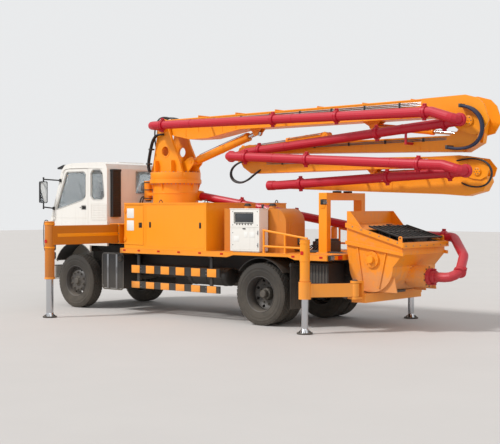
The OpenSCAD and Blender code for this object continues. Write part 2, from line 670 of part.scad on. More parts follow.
// Seats, dash, steering column and wheel on the cab floor
seat_y = [-480, 480];
module cab_interior() color([0.2, 0.2, 0.22]) on_cab() {
    profile_plate(-cab_half + cab_wall + 20, cab_half - cab_wall - 20) polygon([[5120, 1560], [5180, 1790],
        [5330, 1770], [5440, 1540], [5300, 1420]]);
    for (y = [-800, 0, 800]) slab([5200, y - 40, floor_z], [5300, y + 40, 1500]);
    for (y = seat_y) {
        profile_plate(y - 240, y + 240) polygon([[4320, 1420], [4780, 1440], [4810, 1500],
            [4780, 1560], [4340, 1530]]);
        profile_plate(y - 230, y + 230) polygon([[4200, 1440], [4330, 1430], [4300, 2050],
            [4270, 2230], [4180, 2230], [4150, 2000]]);
        slab([4350, y - 150, floor_z], [4700, y + 150, 1425]);
    }
    slab([3840, -900, floor_z], [4130, 900, 1560]);
    bar([5190, 480, 1640], [5040, 480, 1850], 25);
    translate([5035, 480, 1857]) rotate([0, -35.5, 0]) {
        rotate_extrude() translate([195, 0]) circle(14, $fn = 24);
        for (a = [30, 150, 270]) rotate(a) translate([0, -14, -5]) cube([195, 28, 10]);
        translate([0, 0, -15]) cylinder(r = 45, h = 30);
    }
}

// Mirrors on stalks, sun visor, rear air duct, grille bar and corner lamps
mirror_x = 5450;
mirror_y = 1145;
// Foot of each mirror stalk on the windscreen pillar as [x, z]
stalk_feet = [[5128, 2440], [5328, 1900]];
// Station of the cab's front above and below its widest point
function nose_x(z) = z > 1300 ? 5520 - (z - 1300) * 30 / 260 : 5500 + (z - 870) * 20 / 430;
module cab_trim() color(black) on_cab() {
    both_sides() {
        for (f = stalk_feet) {
            slab([f.x - 22, cab_half, f.y - 30], [f.x + 22, cab_half + 24, f.y + 30]);
            bar([f.x, cab_half + 14, f.y], [mirror_x, mirror_y, f.y + 25], 13);
        }
        bar([mirror_x, mirror_y, 1900], [mirror_x, mirror_y, 2490], 14);
        slab([mirror_x - 25, mirror_y - 70, 2010], [mirror_x + 15, mirror_y + 95, 2420]);
        profile_plate(700, 740) polygon([[5090.5, 2645.6], [5020.5, 2719.8], [5085, 2742], [5100, 2690]]);
        profile_plate(410, 710) polygon([[nose_x(960) + seat_gap, 960], [5535, 970], [5535, 1090],
            [nose_x(1100) + seat_gap, 1100]]);
    }
    profile_plate(-cab_half + 40, cab_half - 40)
        polygon([[5075, 2700], [5090, 2745], [5280, 2690], [5270, 2660]]);
    slab([cab_rear - 75, 700, 1740], [cab_rear, 900, 2620]);
    profile_plate(-cab_half + 60, cab_half - 60) polygon([[nose_x(1320) + seat_gap, 1320], [5545, 1345],
        [5528, 1540], [nose_x(1550) + seat_gap, 1550]]);
}

// Steering knuckle: yoke round the axle's eye, kingpin, stub and brake drum
stub_r = 40;
front_stub_end = 886;
module knuckle() color([0.25, 0.25, 0.27]) on_truck() translate([wheelbase, 0, axle_z]) {
    for (z = [-eye_half - 42, eye_half + 2]) {
        translate([0, kingpin_y, z]) cylinder(r = 52, h = 40);
        slab([-45, kingpin_y, z], [45, 712, z + 40]);
    }
    translate([0, kingpin_y, -eye_half - 42]) cylinder(r = kingpin_r, h = 2 * eye_half + 84);
    slab([-60, 685, -eye_half - 42], [60, 715, eye_half + 42]);
    translate([0, 714, 0]) rotate([-90, 0, 0]) cylinder(r = 190, h = 90);
    translate([0, 800, 0]) rotate([-90, 0, 0]) cylinder(r = stub_r, h = front_stub_end - 800);
    bar([-40, kingpin_y, -85], [-230, 575, -85], 22);
}
module knuckle_left() knuckle();
module knuckle_right() mirror([0, 1, 0]) knuckle();

// Wheels: tyre section as [radius, width share], rim barrel, dished disc and hub
tyre_section = [[0.56, 0.39], [0.6, 0.45], [0.76, 0.5], [0.9, 0.48], [0.97, 0.42], [1, 0.3]];
rim_r = 285;
barrel_t = 14;
module tyre(y, w) translate([0, y, 0]) about_y() polygon(concat(
    [for (p = tyre_section) [p[0] * tyre_r, p[1] * w]],
    [for (k = [len(tyre_section) - 1:-1:0]) [tyre_section[k][0] * tyre_r, -tyre_section[k][1] * w]]));

module rim(y, w, disc_y, hub_y, hub_r, inner_r = 0) difference() {
    translate([0, y, 0]) about_y() union() {
        translate([rim_r - barrel_t, -w * 0.42]) square([barrel_t + 3, w * 0.84]);
        for (s = [-1, 1]) translate([rim_r - barrel_t, s > 0 ? w * 0.39 : -w * 0.43]) square([34, w * 0.04]);
        polygon([[inner_r, hub_y], [hub_r, hub_y], [rim_r - 60, disc_y], [rim_r - barrel_t + e, disc_y],
            [rim_r - barrel_t + e, disc_y - 14], [rim_r - 70, disc_y - 14], [hub_r - 10, hub_y - 16],
            [inner_r, hub_y - 16]]);
    }
    for (a = [22.5:45:350]) rotate([0, a, 0]) translate([rim_r - 75, y - w, 0]) rotate([-90, 0, 0])
        cylinder(r = 24, h = 2 * w);
}

front_wheel_y = 845;
module wheel_front() on_truck() translate([wheelbase, 0, axle_z]) {
    color(black) tyre(front_wheel_y, front_tyre_w);
    color([0.3, 0.3, 0.32]) {
        rim(front_wheel_y, front_tyre_w, 30, 70, 130);
        translate([0, front_wheel_y + 60, 0]) rotate([-90, 0, 0]) cylinder(r1 = 95, r2 = 75, h = 60);
        translate([0, 812, 0]) rotate([-90, 0, 0]) difference() {
            cylinder(r = 85, h = front_wheel_y + 62 - 812);
            translate([0, 0, -e]) cylinder(r = stub_r + pin_gap, h = front_stub_end + 4 - 812 + e);
        }
    }
}
module wheel_front_left() wheel_front();
module wheel_front_right() mirror([0, 1, 0]) wheel_front();

module wheel_rear() on_truck() translate([0, 0, axle_z]) {
    outer_y = rear_tyre_y;
    inner_y = twin_inner_y;
    color(black) for (y = [outer_y, inner_y]) tyre(y, rear_tyre_w);
    color([0.3, 0.3, 0.32]) {
        rim(outer_y, rear_tyre_w, -80, -110, 130, stub_r + 10);
        rim(inner_y, rear_tyre_w, 94, 130, 130, stub_r + 10);
        translate([0, inner_y + 90, 0]) rotate([-90, 0, 0]) difference() {
            cylinder(r1 = 110, r2 = 85, h = 260);
            translate([0, 0, -e]) cylinder(r = stub_r + pin_gap, h = rear_stub_end + 4 - inner_y - 90);
        }
    }
}
module wheel_rear_left() wheel_rear();
module wheel_rear_right() mirror([0, 1, 0]) wheel_rear();

// Boom joints as [x, z] in the folded pose
joint_turret = [3050, 3420];
joint_12 = [-3300, 3200];
joint_23 = [1150, 2800];
joint_34 = [-3400, 2450];
boom_tip = [550, 2300];
fork_gap = 20;
plate_t = 25;

// Cylinders as [foot, rod eye, barrel radius, rod radius, barrel length, eye radius, pin radius]
cylinder_table = [
    [[2470, 2760], [950, 3225], 72, 42, 1380, 51, 28],
    [[-1500, 3215], [-3180, 3010], 50, 28, 1100, 38, 22],
    [[-560, 3125], [1250, 2975], 48, 26, 850, 34, 20],
    [[-1500, 2462], [-3310, 2488], 38, 23, 1100, 30, 16]];
eye_half_w = 28;
// Room left in each barrel behind the rod's tail for the stroke inwards
rod_room = [20, 20, 220, 20];
module foot_pin(k, half)
    cross_bar(cylinder_table[k][0].x, cylinder_table[k][0].y, cylinder_table[k][6], -half, half);

// Turret: slewing flange, tapering fork, webs and the lugs of the lift cylinder
fork_inner = 200;
fork_t = 40;
lift_foot = cylinder_table[0][0];
turret_flange_top = 2570;
module turret() color(yellow) on_truck() {
    translate([pedestal_x, 0, slew_z + slew_gap])
        cylinder(r = flange_r - 10, h = turret_flange_top - slew_z - slew_gap, $fn = 72);
    both_sides() {
        profile_plate(fork_inner, fork_inner + fork_t) difference() {
            union() {
                polygon([[2560, turret_flange_top - e], [3390, turret_flange_top - e], [3330, 2700],
                    [3185, 3400], [2915, 3400], [2800, 3100], [2640, 2800]]);
                translate(joint_turret) circle(140);
            }
            translate([3000, 2960]) circle(90);
        }
        for (x = [2760, 3180]) slab([x, fork_inner + fork_t - e, turret_flange_top - e],
            [x + 30, 330, turret_flange_top + 220]);
        profile_plate(88, 118) union() {
            translate(lift_foot) circle(85);
            polygon([lift_foot + [-50, -60], [2540, turret_flange_top - e], [2800, turret_flange_top - e],
                [2760, 2700], lift_foot + [70, 60]]);
        }
        cross_bar(joint_turret.x, joint_turret.y, 110, fork_inner + fork_t - e, 267.5);
    }
    slab([3190, -fork_inner - e, turret_flange_top - e], [3230, fork_inner + e, 3060]);
    slab([2700, -fork_inner - e, turret_flange_top - e], [2730, fork_inner + e, 2720]);
    cross_bar(joint_turret.x, joint_turret.y, 60, -fork_inner - 20, fork_inner + 20);
    foot_pin(0, 130);
}

// Pair of lugs on both sides of a cylinder's end, hanging from a section
module lug_pair(eye, r, base_z, base_half, inner) both_sides() profile_plate(inner, inner + 22) union() {
    translate(eye) circle(r);
    polygon([eye + [-r, 0], eye + [r, 0], [eye.x + base_half, base_z], [eye.x - base_half, base_z]]);
}

// First section: straight box with a deep belly, end plates and the pin of joint 1-2
boom_1_box = [[3050, 3550], [-2860, 3578], [-2860, 3290], [1200, 3290], [2000, 3165], [2450, 3165],
    [3050, 3290]];
boom_1_end = [[-2500, 3577], [-3240, 3590], [-3450, 3530], [-3550, 3430], [-3630, 3200], [-3520, 3020],
    [-3380, 2990], [-3150, 3060], [-2850, 3290], [-2500, 3290]];
module boom_1() color(yellow) on_truck() {
    difference() {
        union() {
            profile_plate(-section_half_1, section_half_1) polygon(boom_1_box);
            cross_bar(joint_turret.x, joint_turret.y, 130, -section_half_1, section_half_1);
            lug_pair(cylinder_table[0][1], 55, 3292, 130, 48);
        }
        cross_bar(joint_turret.x, joint_turret.y, 60 + pin_gap, -section_half_1 - e, section_half_1 + e);
    }
    lug_pair(cylinder_table[1][0], 50, 3292, 180, 58);
    both_sides() profile_plate(section_half_1 - e, section_half_1 + plate_t) polygon(boom_1_end);
    cross_bar(joint_12.x, joint_12.y, pin_r, -section_half_1 - plate_t - 20, section_half_1 + plate_t + 20);
    for (x = [-2300:900:2200]) slab([x, -section_half_1 - 8, 3300], [x + 12, section_half_1 + 8, 3590]);
    foot_pin(1, 86);
}

// Second section: tapers to the front, slotted ear at joint 1-2, fork at joint 2-3
boom_2_box = [[-2950, 3000], [200, 2992], [950, 2945], [950, 2860], [-2600, 2770], [-3150, 2750], [-3400, 2880],
    [-3450, 3180], [-3180, 3270], [-3080, 3060]];
boom_2_fork = [[700, 2990], [1000, 3010], [1230, 2960], [1300, 2820], [1250, 2700], [1050, 2700], [700, 2850]];
module boom_2() color(yellow) on_truck() {
    difference() {
        union() {
            profile_plate(-section_half_2, section_half_2) polygon(boom_2_box);
            cross_bar(joint_12.x, joint_12.y, 150, -section_half_2, section_half_2);
        }
        cross_bar(joint_12.x, joint_12.y, pin_r + pin_gap, -section_half_2 - e, section_half_2 + e);
        slab([-3500, -45, 2880], [-2930, 45, 3400]);
    }
    both_sides() profile_plate(section_half_2 - e, section_half_2 + plate_t - 5) polygon(boom_2_fork);
    cross_bar(joint_23.x, joint_23.y, pin_r, -section_half_2 - plate_t, section_half_2 + plate_t);
    lug_pair(cylinder_table[2][0], 45, 2985, 130, 56);
    foot_pin(2, 84);
}

// Third section: ear with the cylinder's lever at joint 2-3, fork at joint 3-4
boom_3_box = [[1230, 2880], [1270, 2760], [1180, 2620], [1000, 2510], [-2860, 2530], [-2860, 2690],
    [700, 2750], [1040, 2880]];
boom_3_fork = [[-2600, 2694], [-3100, 2700], [-3480, 2640], [-3600, 2500], [-3560, 2380], [-3450, 2330],
    [-3300, 2350], [-2900, 2530], [-2600, 2530]];
module boom_3() color(yellow) on_truck() {
    difference() {
        union() {
            profile_plate(-section_half_3, section_half_3) polygon(boom_3_box);
            cross_bar(joint_23.x, joint_23.y, 120, -section_half_3, section_half_3);
            both_sides() profile_plate(34, 56) union() {
                translate(cylinder_table[2][1]) circle(40);
                polygon([cylinder_table[2][1] + [-40, 0], cylinder_table[2][1] + [40, 0],
                    joint_23 + [112, -20], joint_23 + [-60, 95]]);
            }
        }
        cross_bar(joint_23.x, joint_23.y, pin_r + pin_gap, -section_half_3 - e, section_half_3 + e);
    }
    both_sides() profile_plate(section_half_3 - 18, section_half_3) polygon(boom_3_fork);
    cross_bar(joint_34.x, joint_34.y, pin_r - 10, -section_half_3 - 15, section_half_3 + 15);
    lug_pair(cylinder_table[3][0], 36, 2532, 110, 46);
    foot_pin(3, 74);
}

// Fourth section: slender, slotted ear at joint 3-4, rounded tip
boom_4_box = [[-3510, 2450], [-3560, 2300], [-3480, 2160], [-3200, 2090], [-2800, 2120], [520, 2245],
    [600, 2295], [520, 2340], [-2800, 2440], [-3250, 2500]];
module boom_4() color(yellow) on_truck() difference() {
    union() {
        profile_plate(-section_half_4, section_half_4) polygon(boom_4_box);
        cross_bar(joint_34.x, joint_34.y, 108, -section_half_4, section_half_4);
        cross_bar(boom_tip.x, boom_tip.y - 8, 50, -section_half_4, section_half_4);
    }
    cross_bar(joint_34.x, joint_34.y, pin_r - 10 + pin_gap, -section_half_4 - e, section_half_4 + e);
    slab([-3600, -38, 2380], [-2890, 38, 2700]);
}

// Pipes beside the sections: odd ones run outside, even ones inside, met at swivels
pipe_outer_y = 600;
pipe_inner_y = 340;
swivel_y = 470;
swivel_gap = 0.4;
swivel_bend = 118;

// Bracket from a section's face to the pipe: out along Y, then up or down to it
module pipe_bracket(x, face_y, pipe_y, face_z, pipe_z) {
    bar([x, face_y, face_z], [x, pipe_y, face_z], 20);
    if (abs(face_z - pipe_z) > 2) bar([x, pipe_y, face_z - (pipe_z > face_z ? 20 : -20)], [x, pipe_y, pipe_z], 20);
}
function line_z(a, b, x) = a.z + (b.z - a.z) * (x - a.x) / (b.x - a.x);

// A pipe run: its path, [station, height at the section's face or 0 for level] brackets, clamps
module pipe_run(points, face_y, brackets, clamps) color(red) on_truck() {
    swept_tube(smooth_path(points, swivel_bend, 4), pipe_r);
    pipe_y = points[2].y;
    for (k = brackets) {
        z = line_z(points[1], points[2], k[0]);
        pipe_bracket(k[0], face_y, pipe_y, k[1] == 0 ? z : k[1], z);
    }
    for (d = clamps) pipe_clamp(points[1], points[2], d, pipe_r);
}
outlet_seam = 310;
boom_outlet = 420;
pipe_1_points = [[joint_turret.x, 268, joint_turret.y], [joint_turret.x, pipe_outer_y, joint_turret.y],
    [-2900, pipe_outer_y, 3330], [joint_12.x, pipe_outer_y, joint_12.y],
    [joint_12.x, swivel_y + swivel_gap, joint_12.y]];
pipe_2_points = [[joint_12.x, swivel_y - swivel_gap, joint_12.y], [joint_12.x, pipe_inner_y, joint_12.y],
    [900, pipe_inner_y, 2870], [joint_23.x, pipe_inner_y, joint_23.y],
    [joint_23.x, swivel_y - swivel_gap, joint_23.y]];
pipe_3_points = [[joint_23.x, swivel_y + swivel_gap, joint_23.y], [joint_23.x, pipe_outer_y, joint_23.y],
    [-3100, pipe_outer_y, 2540], [joint_34.x, pipe_outer_y, joint_34.y],
    [joint_34.x, swivel_y + swivel_gap, joint_34.y]];
pipe_4_points = [[joint_34.x, swivel_y - swivel_gap, joint_34.y], [joint_34.x, pipe_inner_y, joint_34.y],
    [200, pipe_inner_y, 2290], [outlet_seam, pipe_inner_y, 2290]];
module pipe_1()
    pipe_run(pipe_1_points, section_half_1, [[1900, 0], [200, 0], [-2100, 0]], [300, 2900, 4200, 5800]);
module pipe_2()
    pipe_run(pipe_2_points, section_half_2, [[-2300, 2900], [-900, 2920], [500, 0]], [300, 1500, 3900]);
module pipe_3()
    pipe_run(pipe_3_points, section_half_3, [[-300, 0], [-1500, 0], [-2700, 0]], [400, 1700, 3800]);
module pipe_4() {
    pipe_run(pipe_4_points, section_half_4, [[-2500, 0], [-1400, 0], [-200, 0]], [300, 1400, 3100]);
    color(red) on_truck() bar([outlet_seam - 20, pipe_inner_y, 2290], [boom_outlet, pipe_inner_y, 2290], pipe_r + 6);
}

// Cylinder barrel from its foot eye, and the chromed rod with its eye
module barrel(k) color(yellow) on_truck() {
    foot = cylinder_table[k][0];
    eye = cylinder_table[k][1];
    r = cylinder_table[k][2];
    reach = cylinder_table[k][4];
    a = [foot.x, 0, foot.y];
    b = [eye.x, 0, eye.y];
    difference() {
        union() {
            bar(along(a, b, r * 1.45), along(a, b, reach), r);
            bar(a, along(a, b, r * 1.6), r * 0.5);
            cross_bar(foot.x, foot.y, r * 0.85, -min(r, 80), min(r, 80));
            bar(along(a, b, reach - 60), along(a, b, reach), r + 5);
        }
        cross_bar(foot.x, foot.y, cylinder_table[k][6] + pin_gap, -r - 20, r + 20);
        bar(along(a, b, r * 2.2), along(a, b, reach + e), cylinder_table[k][3] + pin_gap);
    }
}
module rod(k) color(steel) on_truck() {
    foot = cylinder_table[k][0];
    eye = cylinder_table[k][1];
    r = cylinder_table[k][3];
    a = [foot.x, 0, foot.y];
    b = [eye.x, 0, eye.y];
    bar(along(a, b, cylinder_table[k][2] * 2.2 + rod_room[k]), b, r);
    cross_bar(eye.x, eye.y, cylinder_table[k][5], -eye_half_w, eye_half_w);
}
module barrel_1() barrel(0);
module barrel_2() barrel(1);
module barrel_3() barrel(2);
module barrel_4() barrel(3);
module rod_1() rod(0);
module rod_2() rod(1);
module rod_3() rod(2);
module rod_4() rod(3);

// Front outriggers: beam sliding in its sleeve, column and jack with a foot
beam_gap = 7;
beam_inner_y = 450;
front_column = [670, 1660];
foot_r = 115;
column_wall = 22;
module outrigger(sleeve) color(yellow) on_truck() {
    x0 = sleeve[0] + sleeve_t + beam_gap;
    x1 = sleeve[1] - sleeve_t - beam_gap;
    difference() {
        union() {
            slab([x0, beam_inner_y, sleeve_z[0] + sleeve_t + seat_gap],
                [x1, front_leg_y, sleeve_z[1] - sleeve_t - beam_gap]);
            translate([(x0 + x1) / 2, front_leg_y, front_column[0]])
                cylinder(r = front_leg_r, h = front_column[1] - front_column[0]);
        }
        translate([(x0 + x1) / 2, front_leg_y, front_column[0] - e])
            cylinder(r = front_leg_r - column_wall, h = front_column[1] - front_column[0] - 20);
    }
}
module jack(x, y, rod_r, top) color(steel) on_truck() {
    translate([x, y, foot_lift + 30]) cylinder(r = rod_r, h = top - foot_lift - 30);
    translate([x, y, foot_lift]) cylinder(r = foot_r, h = 25);
    translate([x, y, foot_lift + 24]) cylinder(r1 = foot_r * 0.7, r2 = rod_r, h = 60);
}
function sleeve_mid(k) = (sleeve_x[k][0] + sleeve_x[k][1]) / 2;
module outrigger_left() outrigger(sleeve_x[1]);
module outrigger_right() mirror([0, 1, 0]) outrigger(sleeve_x[0]);
module jack_left() jack(sleeve_mid(1), front_leg_y, front_leg_r - column_wall - pin_gap, 1120);
module jack_right() mirror([0, 1, 0])
    jack(sleeve_mid(0), front_leg_y, front_leg_r - column_wall - pin_gap, 1120);

// Rear outriggers: short arm swinging on the hinge pin, column and jack
rear_leg = [-1250, 1500];
rear_column = [560, 1420];
module rear_arm() color(yellow) on_truck() difference() {
    union() {
        translate([rear_hinge.x, rear_hinge.y, arm_z[0]]) cylinder(r = 68, h = arm_z[1] - arm_z[0]);
        translate([rear_hinge.x, rear_hinge.y, arm_z[0]])
            rotate(atan2(rear_leg.y - rear_hinge.y, rear_leg.x - rear_hinge.x))
            translate([0, -50, 0]) cube([norm(rear_leg - rear_hinge), 100, arm_z[1] - arm_z[0]]);
        translate([rear_leg.x, rear_leg.y, rear_column[0]])
            cylinder(r = rear_leg_r, h = rear_column[1] - rear_column[0]);
        translate([rear_leg.x, rear_leg.y, arm_z[0] - 30]) cylinder(r = rear_leg_r + 20, h = arm_z[1] - arm_z[0] + 60);
    }
    translate([rear_hinge.x, rear_hinge.y, arm_z[0] - e])
        cylinder(r = hinge_pin_r + pin_gap, h = arm_z[1] - arm_z[0] + 2 * e);
    translate([rear_leg.x, rear_leg.y, arm_z[0] - 60])
        cylinder(r = rear_leg_r - column_wall, h = rear_column[1] - arm_z[0] + 40);
}
module rear_arm_left() rear_arm();
module rear_arm_right() mirror([0, 1, 0]) rear_arm();
module rear_jack_left() jack(rear_leg.x, rear_leg.y, rear_leg_r - column_wall - pin_gap, 950);
module rear_jack_right() mirror([0, 1, 0]) rear_jack_left();

chassis_frame();
front_bumper();
front_axle();
rear_axle();
driveline();
underbody();
side_guards();
deck();
pedestal();
cabinet();
cabinet_door();
control_box();
hydraulic_tank();
railings();
boom_rest();
hopper();
hopper_grate();
rear_frame();
delivery_pipe();
cab_shell();
cab_glass();
cab_interior();
cab_trim();
door_left();
door_right();
door_glass_left();
door_glass_right();
knuckle_left();
knuckle_right();
wheel_front_left();
wheel_front_right();
wheel_rear_left();
wheel_rear_right();
turret();
boom_1();
boom_2();
boom_3();
boom_4();
pipe_1();
pipe_2();
pipe_3();
pipe_4();
barrel_1();
barrel_2();
barrel_3();
barrel_4();
rod_1();
rod_2();
rod_3();
rod_4();
outrigger_left();
outrigger_right();
jack_left();
jack_right();
rear_arm_left();
rear_arm_right();
rear_jack_left();
rear_jack_right();
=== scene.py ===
"""Looks of a concrete pump truck: finishes, fittings, wheels, hoses, lamps and studio.

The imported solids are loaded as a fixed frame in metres. Each sub-assembly is a class
that dresses the solids it owns and models the fittings that sit on them.
"""
import logging
import math
from dataclasses import dataclass
from enum import Enum
from typing import Iterable, Optional, Sequence, Union

import bpy
from mathutils import Matrix, Vector


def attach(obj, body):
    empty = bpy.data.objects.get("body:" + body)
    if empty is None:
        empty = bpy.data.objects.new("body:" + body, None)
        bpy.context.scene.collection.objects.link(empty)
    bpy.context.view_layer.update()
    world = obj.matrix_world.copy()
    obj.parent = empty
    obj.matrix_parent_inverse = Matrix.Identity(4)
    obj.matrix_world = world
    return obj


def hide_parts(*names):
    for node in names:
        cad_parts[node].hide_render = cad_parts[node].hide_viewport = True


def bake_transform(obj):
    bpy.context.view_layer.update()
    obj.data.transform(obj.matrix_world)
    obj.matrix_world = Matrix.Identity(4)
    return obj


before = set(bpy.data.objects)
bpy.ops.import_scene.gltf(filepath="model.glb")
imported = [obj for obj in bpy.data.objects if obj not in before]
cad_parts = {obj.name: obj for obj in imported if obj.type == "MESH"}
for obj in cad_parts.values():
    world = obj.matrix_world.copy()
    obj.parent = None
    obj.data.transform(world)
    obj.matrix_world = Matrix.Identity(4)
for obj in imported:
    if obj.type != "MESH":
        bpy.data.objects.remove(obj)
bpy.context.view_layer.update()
NODES: dict[str, bpy.types.Object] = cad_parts
LOG = logging.getLogger("pump_truck")
Piece, Socket = bpy.types.Object, bpy.types.NodeSocket
Point = Sequence[float]
Flat = tuple[float, float]
MID_X = 0.96
MIRROR = Matrix.Scale(-1, 4, (0, 1, 0))
SIDES = (("left", 1), ("right", -1))
SAME_POINT, SOLID_SAME_POINT = 0.00002, 0.00005
GLASS_IOR = 1.45
HARD_EDGE, HARD_SOLID_EDGE, HOSE_SMOOTH = math.radians(32), math.radians(40), math.radians(50)


def at(x: float, y: float, z: float) -> Vector:
    """Place given from the rear axle, moved to the shared frame."""
    return Vector((x - MID_X, y, z))


# ---------------------------------------------------------------- shader effects
class Effect(Enum):
    """Shared shader effects, each one node group."""

    PAINT = "paint_skin"
    DUST = "road_dust"
    STREAK = "rain_streaks"
    GRAIN = "fine_grain"
    CRUST = "dried_concrete"


class EffectLibrary:
    """Builds the shared node groups once and hands them out by name."""

    def __init__(self) -> None:
        """Build every group."""
        self.groups: dict[Effect, bpy.types.NodeTree] = {}
        self._paint()
        self._dust()
        self._streak()
        self._grain()
        self._crust()

    def _open(self, effect: Effect, inputs: dict[str, object], outputs: Sequence[str]) -> "Graph":
        """Start a group; a tuple as default makes a colour socket, a number a plain one.

        Args:
            effect: Which group it is.
            inputs: Socket name and default of each input.
            outputs: Socket name of each output.

        Returns:
            A graph writer on the new group.
        """
        tree = bpy.data.node_groups.new(effect.value, "ShaderNodeTree")
        for name, default in inputs.items():
            kind = "NodeSocketColor" if isinstance(default, tuple) else "NodeSocketFloat"
            tree.interface.new_socket(name, in_out="INPUT", socket_type=kind).default_value = default
        for name in outputs:
            kind = "NodeSocketColor" if name == "Colour" else "NodeSocketFloat"
            tree.interface.new_socket(name, in_out="OUTPUT", socket_type=kind)
        self.groups[effect] = tree
        return Graph(tree)

    def _paint(self) -> None:
        """Large soft shade changes, orange peel and fine scuffs of sprayed enamel."""
        g = self._open(Effect.PAINT, {"Colour": (0.5, 0.5, 0.5, 1), "Variation": 0.1, "Scale": 1.0, "Scuffs": 0.2},
                       ["Colour", "Roughness", "Height"])
        gi, go = g.ends()
        where = g.scaled_place(gi.outputs["Scale"])
        broad = g.noise(where, 1.7, 4.0, 0.55)
        fine = g.noise(where, 260.0, 2.0, 0.5)
        scuff = g.noise(where, 24.0, 8.0, 0.72)
        marks = g.ramp(scuff, 0.6, 0.72)
        swing = g.math("MULTIPLY", g.math("SUBTRACT", broad, 0.5), gi.outputs["Variation"])
        shaded = g.shaded(gi.outputs["Colour"], g.math("ADD", swing, 1.0))
        worn = g.math("MULTIPLY", marks, gi.outputs["Scuffs"])
        pale = g.mix(worn, shaded, (0.62, 0.58, 0.5, 1))
        g.link(pale, go.inputs["Colour"])
        g.link(g.math("ADD", g.math("MULTIPLY", broad, 0.16), g.math("MULTIPLY", worn, 0.5)),
               go.inputs["Roughness"])
        g.link(g.math("ADD", g.math("MULTIPLY", fine, 0.25), g.math("MULTIPLY", marks, -0.2)), go.inputs["Height"])

    def _dust(self) -> None:
        """Road dust that thickens towards the ground and settles on upward faces."""
        g = self._open(Effect.DUST, {"Colour": (0.5, 0.5, 0.5, 1), "Dust": (0.36, 0.31, 0.25, 1), "Full At": 0.2,
                                     "None At": 1.2, "Amount": 0.5, "Top Amount": 0.3}, ["Colour", "Mask"])
        gi, go = g.ends()
        place = g.node("ShaderNodeTexCoord").outputs["Object"]
        low = g.fade(place, gi.outputs["Full At"], gi.outputs["None At"])
        cloud = g.noise(place, 5.0, 6.0, 0.65)
        speck = g.noise(place, 90.0, 3.0, 0.6)
        patch = g.math("ADD", g.math("MULTIPLY", cloud, 1.1), g.math("MULTIPLY", speck, 0.4))
        side = g.math("MULTIPLY", g.math("MULTIPLY", low, patch), gi.outputs["Amount"])
        normal = g.node("ShaderNodeNewGeometry").outputs["Normal"]
        top = g.math("MULTIPLY", g.ramp(g.height(normal), 0.55, 0.98), gi.outputs["Top Amount"])
        mask = g.math("ADD", side, g.math("MULTIPLY", top, patch), clamp=True)
        g.link(g.mix(mask, gi.outputs["Colour"], gi.outputs["Dust"]), go.inputs["Colour"])
        g.link(mask, go.inputs["Mask"])

    def _streak(self) -> None:
        """Vertical runs of rain and grime down upright faces."""
        g = self._open(Effect.STREAK, {"Colour": (0.5, 0.5, 0.5, 1), "Grime": (0.1, 0.07, 0.045, 1), "Amount": 0.3},
                       ["Colour", "Mask"])
        gi, go = g.ends()
        mapping = g.node("ShaderNodeMapping")
        mapping.inputs["Scale"].default_value = (14.0, 14.0, 0.9)
        g.link(g.node("ShaderNodeTexCoord").outputs["Object"], mapping.inputs["Vector"])
        runs = g.ramp(g.noise(mapping.outputs[0], 1.0, 5.0, 0.6), 0.56, 0.78)
        mask = g.math("MULTIPLY", runs, gi.outputs["Amount"])
        g.link(g.mix(mask, gi.outputs["Colour"], gi.outputs["Grime"]), go.inputs["Colour"])
        g.link(mask, go.inputs["Mask"])

    def _grain(self) -> None:
        """Fine pebbled grain of rubber, moulded plastic and cast metal."""
        g = self._open(Effect.GRAIN, {"Colour": (0.5, 0.5, 0.5, 1), "Scale": 200.0, "Contrast": 0.15},
                       ["Colour", "Height"])
        gi, go = g.ends()
        cells = g.node("ShaderNodeTexVoronoi")
        g.link(g.node("ShaderNodeTexCoord").outputs["Object"], cells.inputs["Vector"])
        g.link(gi.outputs["Scale"], cells.inputs["Scale"])
        shade = g.math("SUBTRACT", 1.0, g.math("MULTIPLY", cells.outputs["Distance"], gi.outputs["Contrast"]))
        g.link(g.shaded(gi.outputs["Colour"], shade), go.inputs["Colour"])
        g.link(cells.outputs["Distance"], go.inputs["Height"])

    def _crust(self) -> None:
        """Splashed and dried concrete, thick below a height and in patches above it."""
        g = self._open(Effect.CRUST, {"Colour": (0.5, 0.5, 0.5, 1), "Full At": 1.0, "None At": 1.6, "Amount": 0.8},
                       ["Colour", "Mask", "Height"])
        gi, go = g.ends()
        place = g.node("ShaderNodeTexCoord").outputs["Object"]
        band = g.fade(place, gi.outputs["Full At"], gi.outputs["None At"])
        blobs = g.noise(place, 9.0, 7.0, 0.7)
        mask = g.math("MULTIPLY", g.ramp(g.math("ADD", blobs, g.math("MULTIPLY", band, 0.3)), 0.55, 0.7),
                      gi.outputs["Amount"], clamp=True)
        grit = g.noise(place, 120.0, 4.0, 0.6)
        stone = g.mix(grit, (0.16, 0.15, 0.14, 1), (0.42, 0.4, 0.37, 1))
        g.link(g.mix(mask, gi.outputs["Colour"], stone), go.inputs["Colour"])
        g.link(mask, go.inputs["Mask"])
        g.link(g.math("MULTIPLY", mask, g.math("ADD", grit, 0.6)), go.inputs["Height"])


